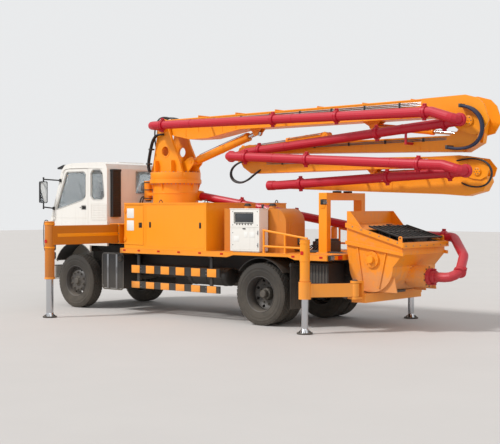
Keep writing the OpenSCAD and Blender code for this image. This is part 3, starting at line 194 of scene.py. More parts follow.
class Graph:
    """Short words for placing and linking shader nodes in one tree."""

    def __init__(self, tree: bpy.types.NodeTree) -> None:
        """Keep the tree that is written to."""
        self.tree = tree

    def node(self, kind: str) -> bpy.types.Node:
        """Add a node of that kind."""
        return self.tree.nodes.new(kind)

    def link(self, source: object, target: Socket) -> None:
        """Feed a socket, or set it where the source is a plain value.

        Args:
            source: Socket or plain value that is fed.
            target: Socket that takes it.
        """
        if isinstance(source, Socket):
            self.tree.links.new(source, target)
        else:
            target.default_value = source

    def fill(self, node: bpy.types.Node, **values: object) -> None:
        """Feed or set a node's inputs by name, an underscore standing for a blank."""
        for name, value in values.items():
            self.link(value, node.inputs[name.replace("_", " ")])

    def ends(self) -> tuple[bpy.types.Node, bpy.types.Node]:
        """Add a group's input and output nodes."""
        return self.node("NodeGroupInput"), self.node("NodeGroupOutput")

    def math(self, operation: str, a: object, b: object = 0.0, clamp: bool = False) -> Socket:
        """Combine two values.

        Args:
            operation: The sum wanted.
            a: First value or socket.
            b: Second one.
            clamp: Whether the result stays within 0 and 1.

        Returns:
            The result's socket.
        """
        n = self.node("ShaderNodeMath")
        n.operation, n.use_clamp = operation, clamp
        self.link(a, n.inputs[0])
        self.link(b, n.inputs[1])
        return n.outputs[0]

    def mix(self, factor: object, a: object, b: object) -> Socket:
        """Blend two colours by a factor.

        Args:
            factor: 0 gives the first, 1 the second.
            a: First colour.
            b: Second colour.

        Returns:
            The blend's socket.
        """
        n = self.node("ShaderNodeMix")
        n.data_type = "RGBA"
        self.link(factor, n.inputs[0])
        self.link(a, n.inputs[6])
        self.link(b, n.inputs[7])
        return n.outputs[2]

    def noise(self, where: object, scale: float, detail: float, rough: float) -> Socket:
        """Value noise at a place.

        Args:
            where: The place.
            scale: Its fineness.
            detail: Its octaves.
            rough: How strong the fine ones are.

        Returns:
            The noise's socket.
        """
        n = self.node("ShaderNodeTexNoise")
        self.fill(n, Scale=scale, Detail=detail, Roughness=rough, Vector=where)
        return n.outputs[0]

    def ramp(self, value: object, low: float, high: float) -> Socket:
        """Stretch a value so that low gives 0 and high gives 1.

        Args:
            value: The value.
            low: What becomes 0.
            high: What becomes 1.

        Returns:
            The stretched value's socket.
        """
        n = self.node("ShaderNodeMapRange")
        self.fill(n, Value=value, From_Min=low, From_Max=high)
        return n.outputs[0]

    def height(self, where: object) -> Socket:
        """The upright part of a vector.

        Args:
            where: Socket of the vector.

        Returns:
            Socket of its Z.
        """
        n = self.node("ShaderNodeSeparateXYZ")
        self.link(where, n.inputs[0])
        return n.outputs["Z"]

    def fade(self, where: object, full: object, none: object) -> Socket:
        """A value of 1 up to one height that falls to 0 at another.

        Args:
            where: Place whose height counts.
            full: Height up to which it is 1.
            none: Height from which it is 0.

        Returns:
            The value's socket.
        """
        n = self.node("ShaderNodeMapRange")
        self.fill(n, Value=self.height(where), From_Min=full, From_Max=none, To_Min=1.0, To_Max=0.0)
        return n.outputs[0]

    def shaded(self, colour: object, value: object) -> Socket:
        """A colour made lighter or darker.

        Args:
            colour: The colour.
            value: 1 leaves it as it is.

        Returns:
            The new colour's socket.
        """
        n = self.node("ShaderNodeHueSaturation")
        self.link(colour, n.inputs["Color"])
        self.link(value, n.inputs["Value"])
        return n.outputs["Color"]

    def scaled_place(self, scale: object) -> Socket:
        """Object coordinates times a scale.

        Args:
            scale: The factor.

        Returns:
            The coordinates' socket.
        """
        n = self.node("ShaderNodeVectorMath")
        n.operation = "SCALE"
        self.link(self.node("ShaderNodeTexCoord").outputs["Object"], n.inputs[0])
        self.link(scale, n.inputs["Scale"])
        return n.outputs[0]

    def group(self, library: EffectLibrary, effect: Effect, **values: object) -> bpy.types.Node:
        """Place a shared effect with its own values.

        Args:
            library: Where the effects are kept.
            effect: Which one.
            values: Its inputs by name.

        Returns:
            The group's node.
        """
        n = self.node("ShaderNodeGroup")
        n.node_tree = library.groups[effect]
        self.fill(n, **values)
        return n


EFFECTS = EffectLibrary()


# ---------------------------------------------------------------- finishes
def tone(red: int, green: int, blue: int) -> tuple[float, float, float, float]:
    """Linear colour from the usual 0 to 255 steps.

    Args:
        red: Red step.
        green: Green step.
        blue: Blue step.

    Returns:
        The colour with full cover.
    """
    def linear(step: int) -> float:
        """One channel made linear."""
        v = step / 255.0
        return v / 12.92 if v <= 0.04045 else ((v + 0.055) / 1.055) ** 2.4
    return (linear(red), linear(green), linear(blue), 1.0)


def blank_material(name: str) -> tuple[bpy.types.Material, Graph, bpy.types.Node]:
    """Start a node material.

    Args:
        name: Its name.

    Returns:
        The material, its graph and its main shader, already wired to the output.
    """
    mat = bpy.data.materials.new(name)
    mat.use_nodes = True
    g = Graph(mat.node_tree)
    mat.node_tree.nodes.clear()
    shader, out = g.node("ShaderNodeBsdfPrincipled"), g.node("ShaderNodeOutputMaterial")
    g.link(shader.outputs[0], out.inputs["Surface"])
    return mat, g, shader


@dataclass(frozen=True)
class Finish:
    """A surface finish with its age: shade changes, scuffs, dust, streaks, crust and grain."""

    name: str
    colour: tuple[float, float, float, float]
    roughness: float = 0.35
    metallic: float = 0.0
    coat: float = 0.0
    variation: float = 0.12
    scuffs: float = 0.12
    scale: float = 1.0
    peel: float = 0.03
    dust: float = 0.35
    dust_from: float = 1.2
    top_dust: float = 0.22
    streaks: float = 0.12
    grain: float = 0.0
    grain_depth: float = 0.1
    crust: Optional[tuple[float, float, float]] = None
    dust_colour: tuple[float, float, float, float] = (0.3, 0.25, 0.19, 1.0)

    def build(self) -> bpy.types.Material:
        """Make the material.

        Returns:
            The node material, ready for any piece.
        """
        mat, g, shader = blank_material(self.name)
        g.fill(shader, Metallic=self.metallic, Coat_Weight=self.coat, Coat_Roughness=0.08)
        skin = g.group(EFFECTS, Effect.PAINT, Colour=self.colour, Variation=self.variation, Scale=self.scale,
                       Scuffs=self.scuffs)
        colour, height = skin.outputs["Colour"], g.math("MULTIPLY", skin.outputs["Height"], self.peel)
        if self.grain:
            cells = g.group(EFFECTS, Effect.GRAIN, Colour=colour, Scale=self.grain, Contrast=0.2)
            colour = cells.outputs["Colour"]
            height = g.math("ADD", height, g.math("MULTIPLY", cells.outputs["Height"], self.grain_depth))
        if self.streaks:
            colour = g.group(EFFECTS, Effect.STREAK, Colour=colour, Amount=self.streaks).outputs["Colour"]
        rough = g.math("ADD", skin.outputs["Roughness"], self.roughness - 0.08)
        if self.crust:
            low, high, amount = self.crust
            crust = g.group(EFFECTS, Effect.CRUST, Colour=colour, Full_At=low, None_At=high, Amount=amount)
            colour = crust.outputs["Colour"]
            height = g.math("ADD", height, g.math("MULTIPLY", crust.outputs["Height"], 0.5))
            rough = g.math("ADD", rough, g.math("MULTIPLY", crust.outputs["Mask"], 0.5))
        dust = g.group(EFFECTS, Effect.DUST, Colour=colour, Dust=self.dust_colour, None_At=self.dust_from,
                       Amount=self.dust, Top_Amount=self.top_dust)
        g.link(dust.outputs["Colour"], shader.inputs["Base Color"])
        g.link(g.math("ADD", rough, g.math("MULTIPLY", dust.outputs["Mask"], 0.45), clamp=True),
               shader.inputs["Roughness"])
        bump = g.node("ShaderNodeBump")
        g.fill(bump, Strength=0.5, Distance=0.004, Height=height)
        g.link(bump.outputs[0], shader.inputs["Normal"])
        return mat


@dataclass(frozen=True)
class ClearFinish:
    """Glass or a lamp lens."""

    name: str
    colour: tuple[float, float, float, float]
    roughness: float = 0.03
    transmission: float = 1.0
    alpha: float = 1.0
    glow: float = 0.0

    def build(self) -> bpy.types.Material:
        """Make the material.

        Returns:
            The node material with a faint film of dust in its roughness.
        """
        mat, g, shader = blank_material(self.name)
        skin = g.group(EFFECTS, Effect.PAINT, Colour=self.colour, Variation=0.1, Scale=1.0, Scuffs=0.0)
        g.link(skin.outputs["Colour"], shader.inputs["Base Color"])
        g.link(g.math("ADD", g.math("MULTIPLY", skin.outputs["Roughness"], 0.4), self.roughness),
               shader.inputs["Roughness"])
        g.fill(shader, Transmission_Weight=self.transmission, Alpha=self.alpha, IOR=GLASS_IOR)
        if self.glow:
            g.fill(shader, Emission_Color=skin.outputs["Colour"], Emission_Strength=self.glow)
        return mat


class Look(Enum):
    """Every finish on the truck."""

    YELLOW = Finish("yellow_enamel", tone(246, 149, 0), roughness=0.46, coat=0.06, variation=0.1, scuffs=0.07,
                    streaks=0.1)
    YELLOW_DECK = Finish("yellow_deck_enamel", tone(
        238, 144, 8), roughness=0.42, coat=0.15, variation=0.16, scuffs=0.22, dust=0.5, top_dust=0.35, streaks=0.15)
    # Orange with painted shade: a darker copy of the yellow enamel for the oil tank, its straps and cover, with
    # heavier dust and streaks as well.
    AMBER_SHADE = Finish("painted_shade_weathered_orange", tone(
        205, 122, 34), roughness=0.5, variation=0.2, scuffs=0.2, dust=0.5, top_dust=0.5, streaks=0.25)
    # Orange with painted shade: a darker copy of the yellow enamel for the front leg beams, whose faces stand away
    # from the light.
    BEAM_SHADE = Finish("leg_beam_painted_shade_orange", tone(196, 112, 14), roughness=0.5, variation=0.16, scuffs=0.15)
    CRIMSON = Finish("crimson_pipe_enamel", tone(186, 4, 38), roughness=0.44, coat=0.08, variation=0.12,
                     scuffs=0.08, streaks=0.06)
    WHITE = Finish("white_cab_enamel", tone(232, 228, 220), roughness=0.25, coat=0.6, variation=0.05, scuffs=0.05,
                   dust=0.55, dust_from=1.7, top_dust=0.12, streaks=0.12)
    BLACK = Finish("black_chassis_paint", tone(24, 23, 24), roughness=0.55, variation=0.3, scuffs=0.08, dust=0.25,
                   dust_from=1.0, top_dust=0.5)
    RIM = Finish("dark_rim_paint", tone(44, 43, 45), roughness=0.45, variation=0.2, scuffs=0.2, dust=0.28,
                 dust_from=1.3)
    CAST = Finish("cast_metal", tone(80, 78, 76), roughness=0.55, metallic=0.6, grain=320.0, scuffs=0.2, dust=0.5)
    STEEL = Finish("bare_steel", tone(150, 150, 152), roughness=0.3, metallic=1.0, variation=0.15, scuffs=0.1,
                   dust=0.15, streaks=0.05)
    CHROME = Finish("chromed_rod", tone(196, 198, 202), roughness=0.14, metallic=1.0, variation=0.05, scuffs=0.03,
                    dust=0.12, dust_from=0.5, streaks=0.0, peel=0.01)
    RUBBER = Finish("tyre_rubber", tone(25, 24, 24), roughness=0.8, variation=0.25, scuffs=0.0, grain=420.0,
                    dust=0.3, dust_from=1.35, top_dust=0.2, streaks=0.0)
    HOSE = Finish("hose_rubber", tone(26, 26, 29), roughness=0.5, variation=0.2, scuffs=0.05, grain=700.0,
                  streaks=0.0, top_dust=0.3)
    BLUE_HOSE = Finish("blue_hose_sleeve", tone(
        34, 40, 66), roughness=0.7, variation=0.3, scuffs=0.05, grain=500.0, streaks=0.0, top_dust=0.3)
    PLASTIC = Finish("black_moulding", tone(24, 24, 26), roughness=0.5, variation=0.12, scuffs=0.05, grain=600.0,
                     grain_depth=0.05, dust=0.4)
    SEAT = Finish("grey_seat_fabric", tone(84, 82, 86), roughness=0.9, variation=0.2, scuffs=0.0, grain=900.0,
                  grain_depth=0.4, dust=0.0, streaks=0.0)
    HOPPER = Finish("hopper_enamel", tone(240, 142, 6), roughness=0.44, coat=0.08, variation=0.12, scuffs=0.18,
                    crust=(0.6, 1.1, 0.22), streaks=0.15)
    LINER = Finish("hopper_liner", tone(46, 40, 36), roughness=0.7, variation=0.4, scuffs=0.3,
                   crust=(1.0, 1.6, 0.85), streaks=0.3, grain=160.0)
    PLATE = Finish("blank_white_plate", tone(228, 226, 220), roughness=0.3, variation=0.05, scuffs=0.05)
    MIRROR = Finish("mirror_silver", tone(214, 218, 222), roughness=0.04, metallic=1.0, variation=0.02, scuffs=0.0,
                    streaks=0.0, dust=0.0, top_dust=0.0, peel=0.0)
    GLASS = ClearFinish("tinted_glass", tone(120, 136, 140), alpha=0.42)
    DISPLAY = Finish("display_window", tone(30, 34, 40), roughness=0.08, coat=0.8, variation=0.4, scale=4.0,
                     scuffs=0.0, streaks=0.0, dust=0.1)
    # Painted glow: a faint emission makes the red reflectors shine though they are no lamps.
    RED_LENS = ClearFinish("red_reflector", tone(200, 18, 14), roughness=0.12, transmission=0.25, glow=0.12)
    AMBER_LENS = ClearFinish("amber_lens", tone(250, 130, 10), roughness=0.12, transmission=0.3, glow=0.1)
    CLEAR_LENS = ClearFinish("clear_lens", tone(230, 232, 235), roughness=0.05, transmission=0.8)


class Paintshop:
    """Keeps one material per finish and puts it on pieces and solids."""

    def __init__(self) -> None:
        """Start with no material mixed."""
        self.mixed: dict[Look, bpy.types.Material] = {}

    def material(self, look: Look) -> bpy.types.Material:
        """The material of a finish, made on first use.

        Args:
            look: The finish.

        Returns:
            Its material.
        """
        if look not in self.mixed:
            self.mixed[look] = look.value.build()
        return self.mixed[look]

    def coat(self, piece: Piece, look: Look) -> Piece:
        """Give a whole piece one finish.

        Args:
            piece: The piece.
            look: The finish.

        Returns:
            The piece.
        """
        piece.data.materials.clear()
        piece.data.materials.append(self.material(look))
        return piece


PAINT = Paintshop()


# ---------------------------------------------------------------- modelling bench
class Bench:
    """Modelling by hand: primitives, edit-mode operators and applied modifiers."""

    @staticmethod
    def clear() -> None:
        """Leave edit mode with nothing selected."""
        if bpy.context.object and bpy.context.object.mode != "OBJECT":
            bpy.ops.object.mode_set(mode="OBJECT")
        bpy.ops.object.select_all(action="DESELECT")

    @staticmethod
    def pick(*pieces: Piece) -> None:
        """Select these pieces alone, the first one active.

        Args:
            pieces: Pieces to select.
        """
        Bench.clear()
        for piece in pieces:
            piece.select_set(True)
        bpy.context.view_layer.objects.active = pieces[0]

    @staticmethod
    def edit() -> None:
        """Enter edit mode with everything selected."""
        bpy.ops.object.mode_set(mode="EDIT")
        bpy.ops.mesh.select_all(action="SELECT")

    @staticmethod
    def close() -> None:
        """Turn all faces outwards and leave edit mode."""
        bpy.ops.mesh.select_all(action="SELECT")
        bpy.ops.mesh.normals_make_consistent(inside=False)
        bpy.ops.object.mode_set(mode="OBJECT")

    @staticmethod
    def copied(pattern: Piece, place: Matrix) -> Piece:
        """Copy a piece to a place.

        Args:
            pattern: The piece.
            place: Where the copy goes; a mirroring placement keeps its faces outwards.

        Returns:
            The copy.
        """
        mesh = pattern.data.copy()
        mesh.transform(place)
        if place.determinant() < 0:
            mesh.flip_normals()
        copy = bpy.data.objects.new("copy", mesh)
        bpy.context.scene.collection.objects.link(copy)
        return copy

    @staticmethod
    def applied(piece: Piece, kind: str, **settings: object) -> Piece:
        """Add a modifier with its settings and apply it.

        Args:
            piece: The piece.
            kind: Type of the modifier.
            settings: Its settings by name.

        Returns:
            The piece.
        """
        Bench.pick(piece)
        mod = piece.modifiers.new(kind.lower(), kind)
        for key, value in settings.items():
            setattr(mod, key, value)
        bpy.ops.object.modifier_apply(modifier=mod.name)
        return piece

    @staticmethod
    def eased(piece: Piece, width: float, segments: int = 2) -> Piece:
        """Round the sharp edges of a piece.

        Args:
            piece: The piece.
            width: Width of the rounding, 0 for none.
            segments: Steps in it.

        Returns:
            The piece.
        """
        if width <= 0:
            return piece
        return Bench.applied(piece, "BEVEL", width=width, segments=segments, limit_method="ANGLE",
                             angle_limit=HARD_EDGE)

    @staticmethod
    def block(low: Point, high: Point, bevel: float = 0.004, segments: int = 2) -> Piece:
        """A box between two corners with eased edges.

        Args:
            low: Lower corner.
            high: Upper corner.
            bevel: Width of the eased edges.
            segments: Steps in them.

        Returns:
            The box.
        """
        Bench.clear()
        low, high = Vector(low), Vector(high)
        bpy.ops.mesh.primitive_cube_add(size=1.0, location=(low + high) / 2)
        piece = bpy.context.object
        piece.scale = high - low
        bpy.ops.object.transform_apply(location=True, rotation=True, scale=True)
        return Bench.eased(piece, bevel, segments)

    @staticmethod
    def rod(a: Point, b: Point, radius: float, sides: int = 24, bevel: float = 0.0,
            radius_end: Optional[float] = None) -> Piece:
        """A round bar or cone from a to b.

        Args:
            a: Middle of the first end.
            b: Middle of the other.
            radius: Radius at a.
            sides: Faces round it.
            bevel: Width of its eased ends.
            radius_end: Radius at b where it differs.

        Returns:
            The bar.
        """
        Bench.clear()
        a, b = Vector(a), Vector(b)
        span = b - a
        bpy.ops.mesh.primitive_cone_add(vertices=sides, radius1=radius, depth=span.length, location=(a + b) / 2,
                                        radius2=radius if radius_end is None else radius_end,
                                        rotation=span.to_track_quat("Z", "Y").to_euler())
        piece = bpy.context.object
        bpy.ops.object.transform_apply(location=True, rotation=True, scale=True)
        return Bench.eased(piece, bevel)

    @staticmethod
    def outline(points: Sequence[Point], filled: bool) -> Piece:
        """A closed outline with its corners set to the points.

        Args:
            points: The corners.
            filled: Whether it gets a face.

        Returns:
            The outline.
        """
        Bench.clear()
        bpy.ops.mesh.primitive_circle_add(
            vertices=len(points), radius=1.0, fill_type="NGON" if filled else "NOTHING")
        piece = bpy.context.object
        for vertex, point in zip(piece.data.vertices, points):
            vertex.co = Vector(point)
        return piece

    @staticmethod
    def plate(points: Sequence[Point], push: Point, bevel: float = 0.003) -> Piece:
        """A flat outline pushed to its thickness.

        Args:
            points: The outline.
            push: Way and length of the push.
            bevel: Width of the eased edges.

        Returns:
            The plate.
        """
        piece = Bench.outline(points, True)
        Bench.edit()
        bpy.ops.mesh.extrude_region_move(TRANSFORM_OT_translate={"value": tuple(push)})
        Bench.close()
        return Bench.eased(piece, bevel)

    @staticmethod
    def lathe(centre: Point, axis: Point, profile: Sequence[Flat], steps: int = 48) -> Piece:
        """A closed profile of radius and distance along the axis, spun all round.

        Args:
            centre: Where the axis starts.
            axis: Its direction.
            profile: Radius and distance of each corner.
            steps: Faces round it.

        Returns:
            The turned piece.
        """
        centre, axis = Vector(centre), Vector(axis).normalized()
        side = axis.orthogonal().normalized()
        piece = Bench.outline([centre + side * r + axis * d for r, d in profile], False)
        Bench.edit()
        bpy.ops.mesh.spin(steps=steps, angle=2 * math.pi, center=centre, axis=axis)
        bpy.ops.mesh.select_all(action="SELECT")
        bpy.ops.mesh.remove_doubles(threshold=SAME_POINT)
        bpy.ops.mesh.dissolve_degenerate(threshold=SAME_POINT)
        Bench.close()
        return piece

    @staticmethod
    def tube(points: Sequence[Point], radius: float, closed: bool = False, rings: int = 6) -> Piece:
        """A round hose or bent bar along a smooth route.

        Args:
            points: Corners of the route.
            radius: Its radius.
            closed: Whether it is a ring.
            rings: Steps between two corners.

        Returns:
            The hose.
        """
        Bench.clear()
        bpy.ops.curve.primitive_nurbs_path_add()
        piece = bpy.context.object
        curve = piece.data
        curve.splines.clear()
        line = curve.splines.new("NURBS")
        line.points.add(len(points) - 1)
        for knot, point in zip(line.points, points):
            knot.co = (*point, 1.0)
        line.order_u, line.use_endpoint_u, line.use_cyclic_u = min(4, len(points)), not closed, closed
        line.resolution_u = rings
        curve.bevel_depth, curve.bevel_resolution, curve.use_fill_caps = radius, 3, True
        bpy.ops.object.convert(target="MESH")
        piece = bpy.context.object
        Bench.edit()
        bpy.ops.mesh.remove_doubles(threshold=SAME_POINT)
        Bench.close()
        return piece

    @staticmethod
    def joined(pieces: Sequence[Piece]) -> Piece:
        """Several pieces made one.

        Args:
            pieces: The pieces; one alone stays as it is.

        Returns:
            The joined piece.
        """
        if len(pieces) == 1:
            return pieces[0]
        Bench.pick(*pieces)
        bpy.ops.object.join()
        return bpy.context.object

    @staticmethod
    def stamped(pattern: Piece, places: Iterable[Matrix]) -> Piece:
        """One copy of a pattern piece at each place, all joined; the pattern is used up.

        Args:
            pattern: The pattern.
            places: Where its copies go.

        Returns:
            The joined copies.
        """
        made = [Bench.copied(pattern, place) for place in places]
        bpy.data.objects.remove(pattern)
        return Bench.joined(made)

    @staticmethod
    def facing(point: Point, way: Point) -> Matrix:
        """Placement that turns +Z towards a direction at a point."""
        return Matrix.Translation(
            Vector(point)) @ Vector((0, 0, 1)).rotation_difference(Vector(way).normalized()).to_matrix().to_4x4()

    @staticmethod
    def bolt(radius: float) -> Piece:
        """Pattern of a hexagon bolt head on its washer, standing along +Z.

        Args:
            radius: Half the head's width over its corners.

        Returns:
            The bolt head and its washer as one piece.
        """
        washer = Bench.lathe((0, 0, 0), (0, 0, 1), [
            (0.0, 0.0), (radius * 1.35, 0.0), (radius * 1.35, radius * 0.22), (0.0, radius * 0.22)], 14)
        head = Bench.rod((0, 0, radius * 0.2), (0, 0, radius * 0.95), radius, 6, radius * 0.12)
        return Bench.joined([washer, head])


class Fitter:
    """Names a finished piece, paints it and sets it on its body."""

    def __init__(self, body: str) -> None:
        """Remember the body that the pieces ride on."""
        self.body = body

    def fit(self, piece: Union[Piece, list], name: str, look: Look, slot: str = "", smooth: float = 34.0,
            stands_for: Sequence[str] = (), both: bool = False) -> Piece:
        """Finish one piece.

        Args:
            piece: The modelled mesh, or the meshes that it is joined from, in place.
            name: Its name in the table.
            look: Its finish.
            slot: Not used.
            smooth: Edges flatter than this angle in degrees are shaded round.
            stands_for: Solids that the piece replaces.
            both: Whether its mirror image across the middle is part of it.

        Returns:
            The piece.
        """
        if isinstance(piece, list):
            piece = Bench.joined(piece)
        if both:
            piece = Shop.both(piece)
        Bench.pick(piece)
        bpy.ops.object.shade_smooth_by_angle(angle=math.radians(smooth))
        Bench.clear()
        piece.name = name
        piece.data.name = name
        PAINT.coat(piece, look)
        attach(piece, self.body)
        if stands_for:
            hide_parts(*stands_for)
        LOG.info("piece %s on %s, %d faces", name, self.body, len(piece.data.polygons))
        return piece


def dress(node: str, look: Look, bevel: float = 0.0) -> None:
    """Give a solid its finish and, where wanted, live eased edges.

    Args:
        node: Name of the solid.
        look: Its finish.
        bevel: Width of the eased edges in metres, 0 for none.
    """
    solid = NODES[node]
    PAINT.coat(solid, look)
    if bevel:
        weld = solid.modifiers.new("weld", "WELD")
        weld.merge_threshold = SOLID_SAME_POINT
        ease = solid.modifiers.new("ease", "BEVEL")
        ease.width, ease.segments, ease.limit_method = bevel, 2, "ANGLE"
        ease.angle_limit = HARD_SOLID_EDGE
        ease.use_clamp_overlap = True


# ---------------------------------------------------------------- studio
@dataclass
class Studio:
    """Pale floor, soft light and the camera at the photograph's angle."""

    lens: float = 76.235
    place: tuple[float, float, float] = (-12.0041, 14.186, 1.9248)
    view: tuple[float, float, float] = (0.6512, -0.7588, -0.01414)
    floor_half: float = 60.0
    backdrop: tuple[float, float, float] = (0.86, 0.87, 0.88)
    skylight: tuple[float, float, float] = (0.93, 0.96, 1.0)

    def build(self) -> None:
        """Make the camera, lamps, world and floor."""
        scene = bpy.context.scene
        scene.view_settings.view_transform = "Standard"
        lens = bpy.data.cameras.new("camera")
        lens.lens, lens.sensor_width = self.lens, 36.0
        camera = bpy.data.objects.new("camera", lens)
        scene.collection.objects.link(camera)
        camera.location = self.place
        camera.rotation_euler = Vector(self.view).to_track_quat("-Z", "Y").to_euler()
        scene.camera = camera
        self._lamp("key", (0.35, 0.62, 0.7), 2.5, 9.0)
        self._lamp("fill", (-0.7, 0.5, 0.5), 0.55, 60.0)
        self._world()
        self._floor()

    def _lamp(self, name: str, towards: Point, strength: float, softness: float) -> None:
        """Add a broad far lamp.

        Args:
            name: Lamp name.
            towards: Direction from the truck to the lamp.
            strength: Sun strength.
            softness: Angular size in degrees.
        """
        data = bpy.data.lights.new(name, "SUN")
        data.energy, data.angle = strength, math.radians(softness)
        lamp = bpy.data.objects.new(name, data)
        lamp.rotation_euler = Vector(towards).to_track_quat("Z", "Y").to_euler()
        bpy.context.scene.collection.objects.link(lamp)

    def _world(self) -> None:
        """A pale surround for the camera and reflections, a plain soft light for the rest."""
        world = bpy.data.worlds.new("surround")
        bpy.context.scene.world = world
        world.use_nodes = True
        g = Graph(world.node_tree)
        world.node_tree.nodes.clear()
        seen, light, out = g.node(
            "ShaderNodeBackground"), g.node("ShaderNodeBackground"), g.node("ShaderNodeOutputWorld")
        g.fill(seen, Color=(*self.backdrop, 1.0), Strength=0.95)
        g.fill(light, Color=(*self.skylight, 1.0), Strength=0.62)
        path = g.node("ShaderNodeLightPath")
        rays = g.math("ADD", path.outputs["Is Camera Ray"], path.outputs["Is Glossy Ray"], clamp=True)
        rays = g.math("ADD", rays, path.outputs["Is Transmission Ray"], clamp=True)
        choose = g.node("ShaderNodeMixShader")
        g.link(rays, choose.inputs[0])
        g.link(light.outputs[0], choose.inputs[1])
        g.link(seen.outputs[0], choose.inputs[2])
        g.link(choose.outputs[0], out.inputs["Surface"])

    def _floor(self) -> None:
        """Lay the plain pale floor."""
        Bench.clear()
        bpy.ops.mesh.primitive_plane_add(size=2 * self.floor_half, location=(0, 0, 0))
        floor = bpy.context.object
        floor.name = "studio_floor"
        mat = bpy.data.materials.new("studio_floor")
        mat.use_nodes = True
        g = Graph(mat.node_tree)
        shader = mat.node_tree.nodes["Principled BSDF"]
        shader.inputs["Roughness"].default_value = 0.85
        skin = g.group(EFFECTS, Effect.PAINT, Colour=(0.56, 0.53, 0.5, 1), Variation=0.08, Scale=0.4, Scuffs=0.0)
        g.link(skin.outputs["Colour"], shader.inputs["Base Color"])
        floor.data.materials.append(mat)


# ---------------------------------------------------------------- wheels
@dataclass
class Wheels:
    """Six road tyres on dished steel discs with hubs and nuts."""

    tyre_r: float = 0.51
    ground_r: float = 0.4935
    disc_t: float = 0.013
    front_w: float = 0.27
    rear_w: float = 0.25
    front_y: float = 0.845
    rear_outer_y: float = 0.955
    rear_inner_y: float = 0.675
    wheelbase: float = 4.7
    lugs: int = 50
    steps: int = 72
    nuts: int = 10
    nut_circle: float = 0.1675

    def tyre(self, width: float) -> Piece:
        """Tyre at the origin with ribs, sidewall rings and tread blocks.

        Args:
            width: Section width.

        Returns:
            The joined tyre.
        """
        h = width / 2
        side = [(0.288, 0.76), (0.296, 0.87), (0.318, 0.95), (0.35, 0.99), (0.375, 1.0), (0.378, 1.012),
                (0.384, 1.012), (0.387, 1.0), (0.425, 0.985), (0.428, 0.998), (0.435, 0.995), (0.438, 0.975),
                (0.462, 0.94), (0.48, 0.9), (0.49, 0.86)]
        crown = [(0.4965, 0.8), (0.4985, 0.4), (0.4995, 0.0), (0.4985, -0.4), (0.4965, -0.8)]
        profile = [(r, d * h) for r, d in side + crown] + [(r, -d * h) for r, d in reversed(side)]
        body = Bench.lathe((0, 0, 0), (0, 1, 0), profile, self.steps)
        return Bench.joined([body, self._blocks(h)])

    def _blocks(self, half: float) -> Piece:
        """Rows of skewed tread blocks, the shoulder rows longer.

        Args:
            half: Half the section width.

        Returns:
            All blocks joined.
        """
        pitch = 2 * math.pi / self.lugs
        rows = [(-0.7, 0.3, 0.0), (-0.36, 0.26, 0.5), (0.0, 0.28, 0.0), (0.36, 0.26, 0.5), (0.7, 0.3, 0.0)]
        made = []
        for centre, share, shift in rows:
            crown = self.tyre_r - 0.0006 - 0.0028 * abs(centre)
            long, wide = crown * pitch * 0.4, share * half * 0.5
            skew = 0.006 if shift else -0.006
            corners = [(-long - skew, centre * half - wide, self.ground_r),
                       (long - skew, centre * half - wide, self.ground_r),
                       (long + skew, centre * half + wide, self.ground_r),
                       (-long + skew, centre * half + wide, self.ground_r)]
            block = Bench.plate(corners, (0, 0, crown - self.ground_r - 0.0012), 0.0015)
            made.append(Bench.stamped(
                block, [Matrix.Rotation((k + shift) * pitch, 4, "Y") for k in range(self.lugs)]))
        return Bench.joined(made)

    def barrel(self, width: float) -> Piece:
        """Rim well with both flanges and the lock ring.

        Args:
            width: Section width of its tyre.

        Returns:
            The rim well.
        """
        h = width * 0.44
        profile = [(0.3, h), (0.304, h - 0.008), (0.288, h - 0.013), (0.287, 13e-3 - h), (0.304, 8e-3 - h),
                   (0.3, -h), (0.284, 4e-3 - h), (0.277, 0.03 - h), (0.266, 0.05 - h), (0.266, h - 0.05),
                   (0.277, h - 0.03), (0.284, h - 0.004)]
        ring = Bench.lathe((0, 0, 0), (0, 1, 0), profile, self.steps)
        lock = Bench.lathe((0, 0, 0), (0, 1, 0), [
            (0.281, h - 0.002), (0.29, h + 0.006), (0.297, h + 0.004), (0.297, h - 0.004)], self.steps)
        return Bench.joined([ring, lock])

    def disc(self, mouth: float, seat: float, inner_r: float) -> Piece:
        """Dished disc with eight hand holes.

        Args:
            mouth: Distance along the axle where the disc meets the rim.
            seat: Distance along the axle of the nut face.
            inner_r: Radius of the centre hole.

        Returns:
            The disc.
        """
        depth = seat - mouth
        shape = [(inner_r, 1.0), (0.142, 1.0), (0.19, 0.9), (0.214, 0.45), (0.243, 0.08), (0.268, 0.0)]
        profile = [(r, mouth + depth * s) for r, s in shape] + [
            (r, mouth + depth * s - self.disc_t) for r, s in reversed(shape)]
        plate = Bench.lathe((0, 0, 0), (0, 1, 0), profile, self.steps)
        low, high = sorted((mouth, seat))
        drill = Bench.rod((0.226, low - 0.06, 0), (0.226, high + 0.06, 0), 0.024, 20)
        drills = Bench.stamped(drill, [turn(22.5 + 45 * k, "Y") for k in range(8)])
        Bench.applied(plate, "BOOLEAN", operation="DIFFERENCE", object=drills, solver="EXACT")
        bpy.data.objects.remove(drills)
        return Bench.eased(plate, 0.002, 1)

    def studs(self, face: float) -> Piece:
        """Ring of wheel nuts on their studs.

        Args:
            face: Distance along the axle of the nut face.

        Returns:
            All nuts joined.
        """
        nut = Bench.bolt(0.017)
        stud = Bench.rod((0, 0, 0.0), (0, 0, 0.03), 0.0095, 10, 0.001)
        pattern = Bench.joined([nut, stud])
        places = []
        for k in range(self.nuts):
            a = 2 * math.pi * k / self.nuts
            places.append(Bench.facing(
                (math.sin(a) * self.nut_circle, face, math.cos(a) * self.nut_circle), (0, 1, 0)))
        return Bench.stamped(pattern, places)

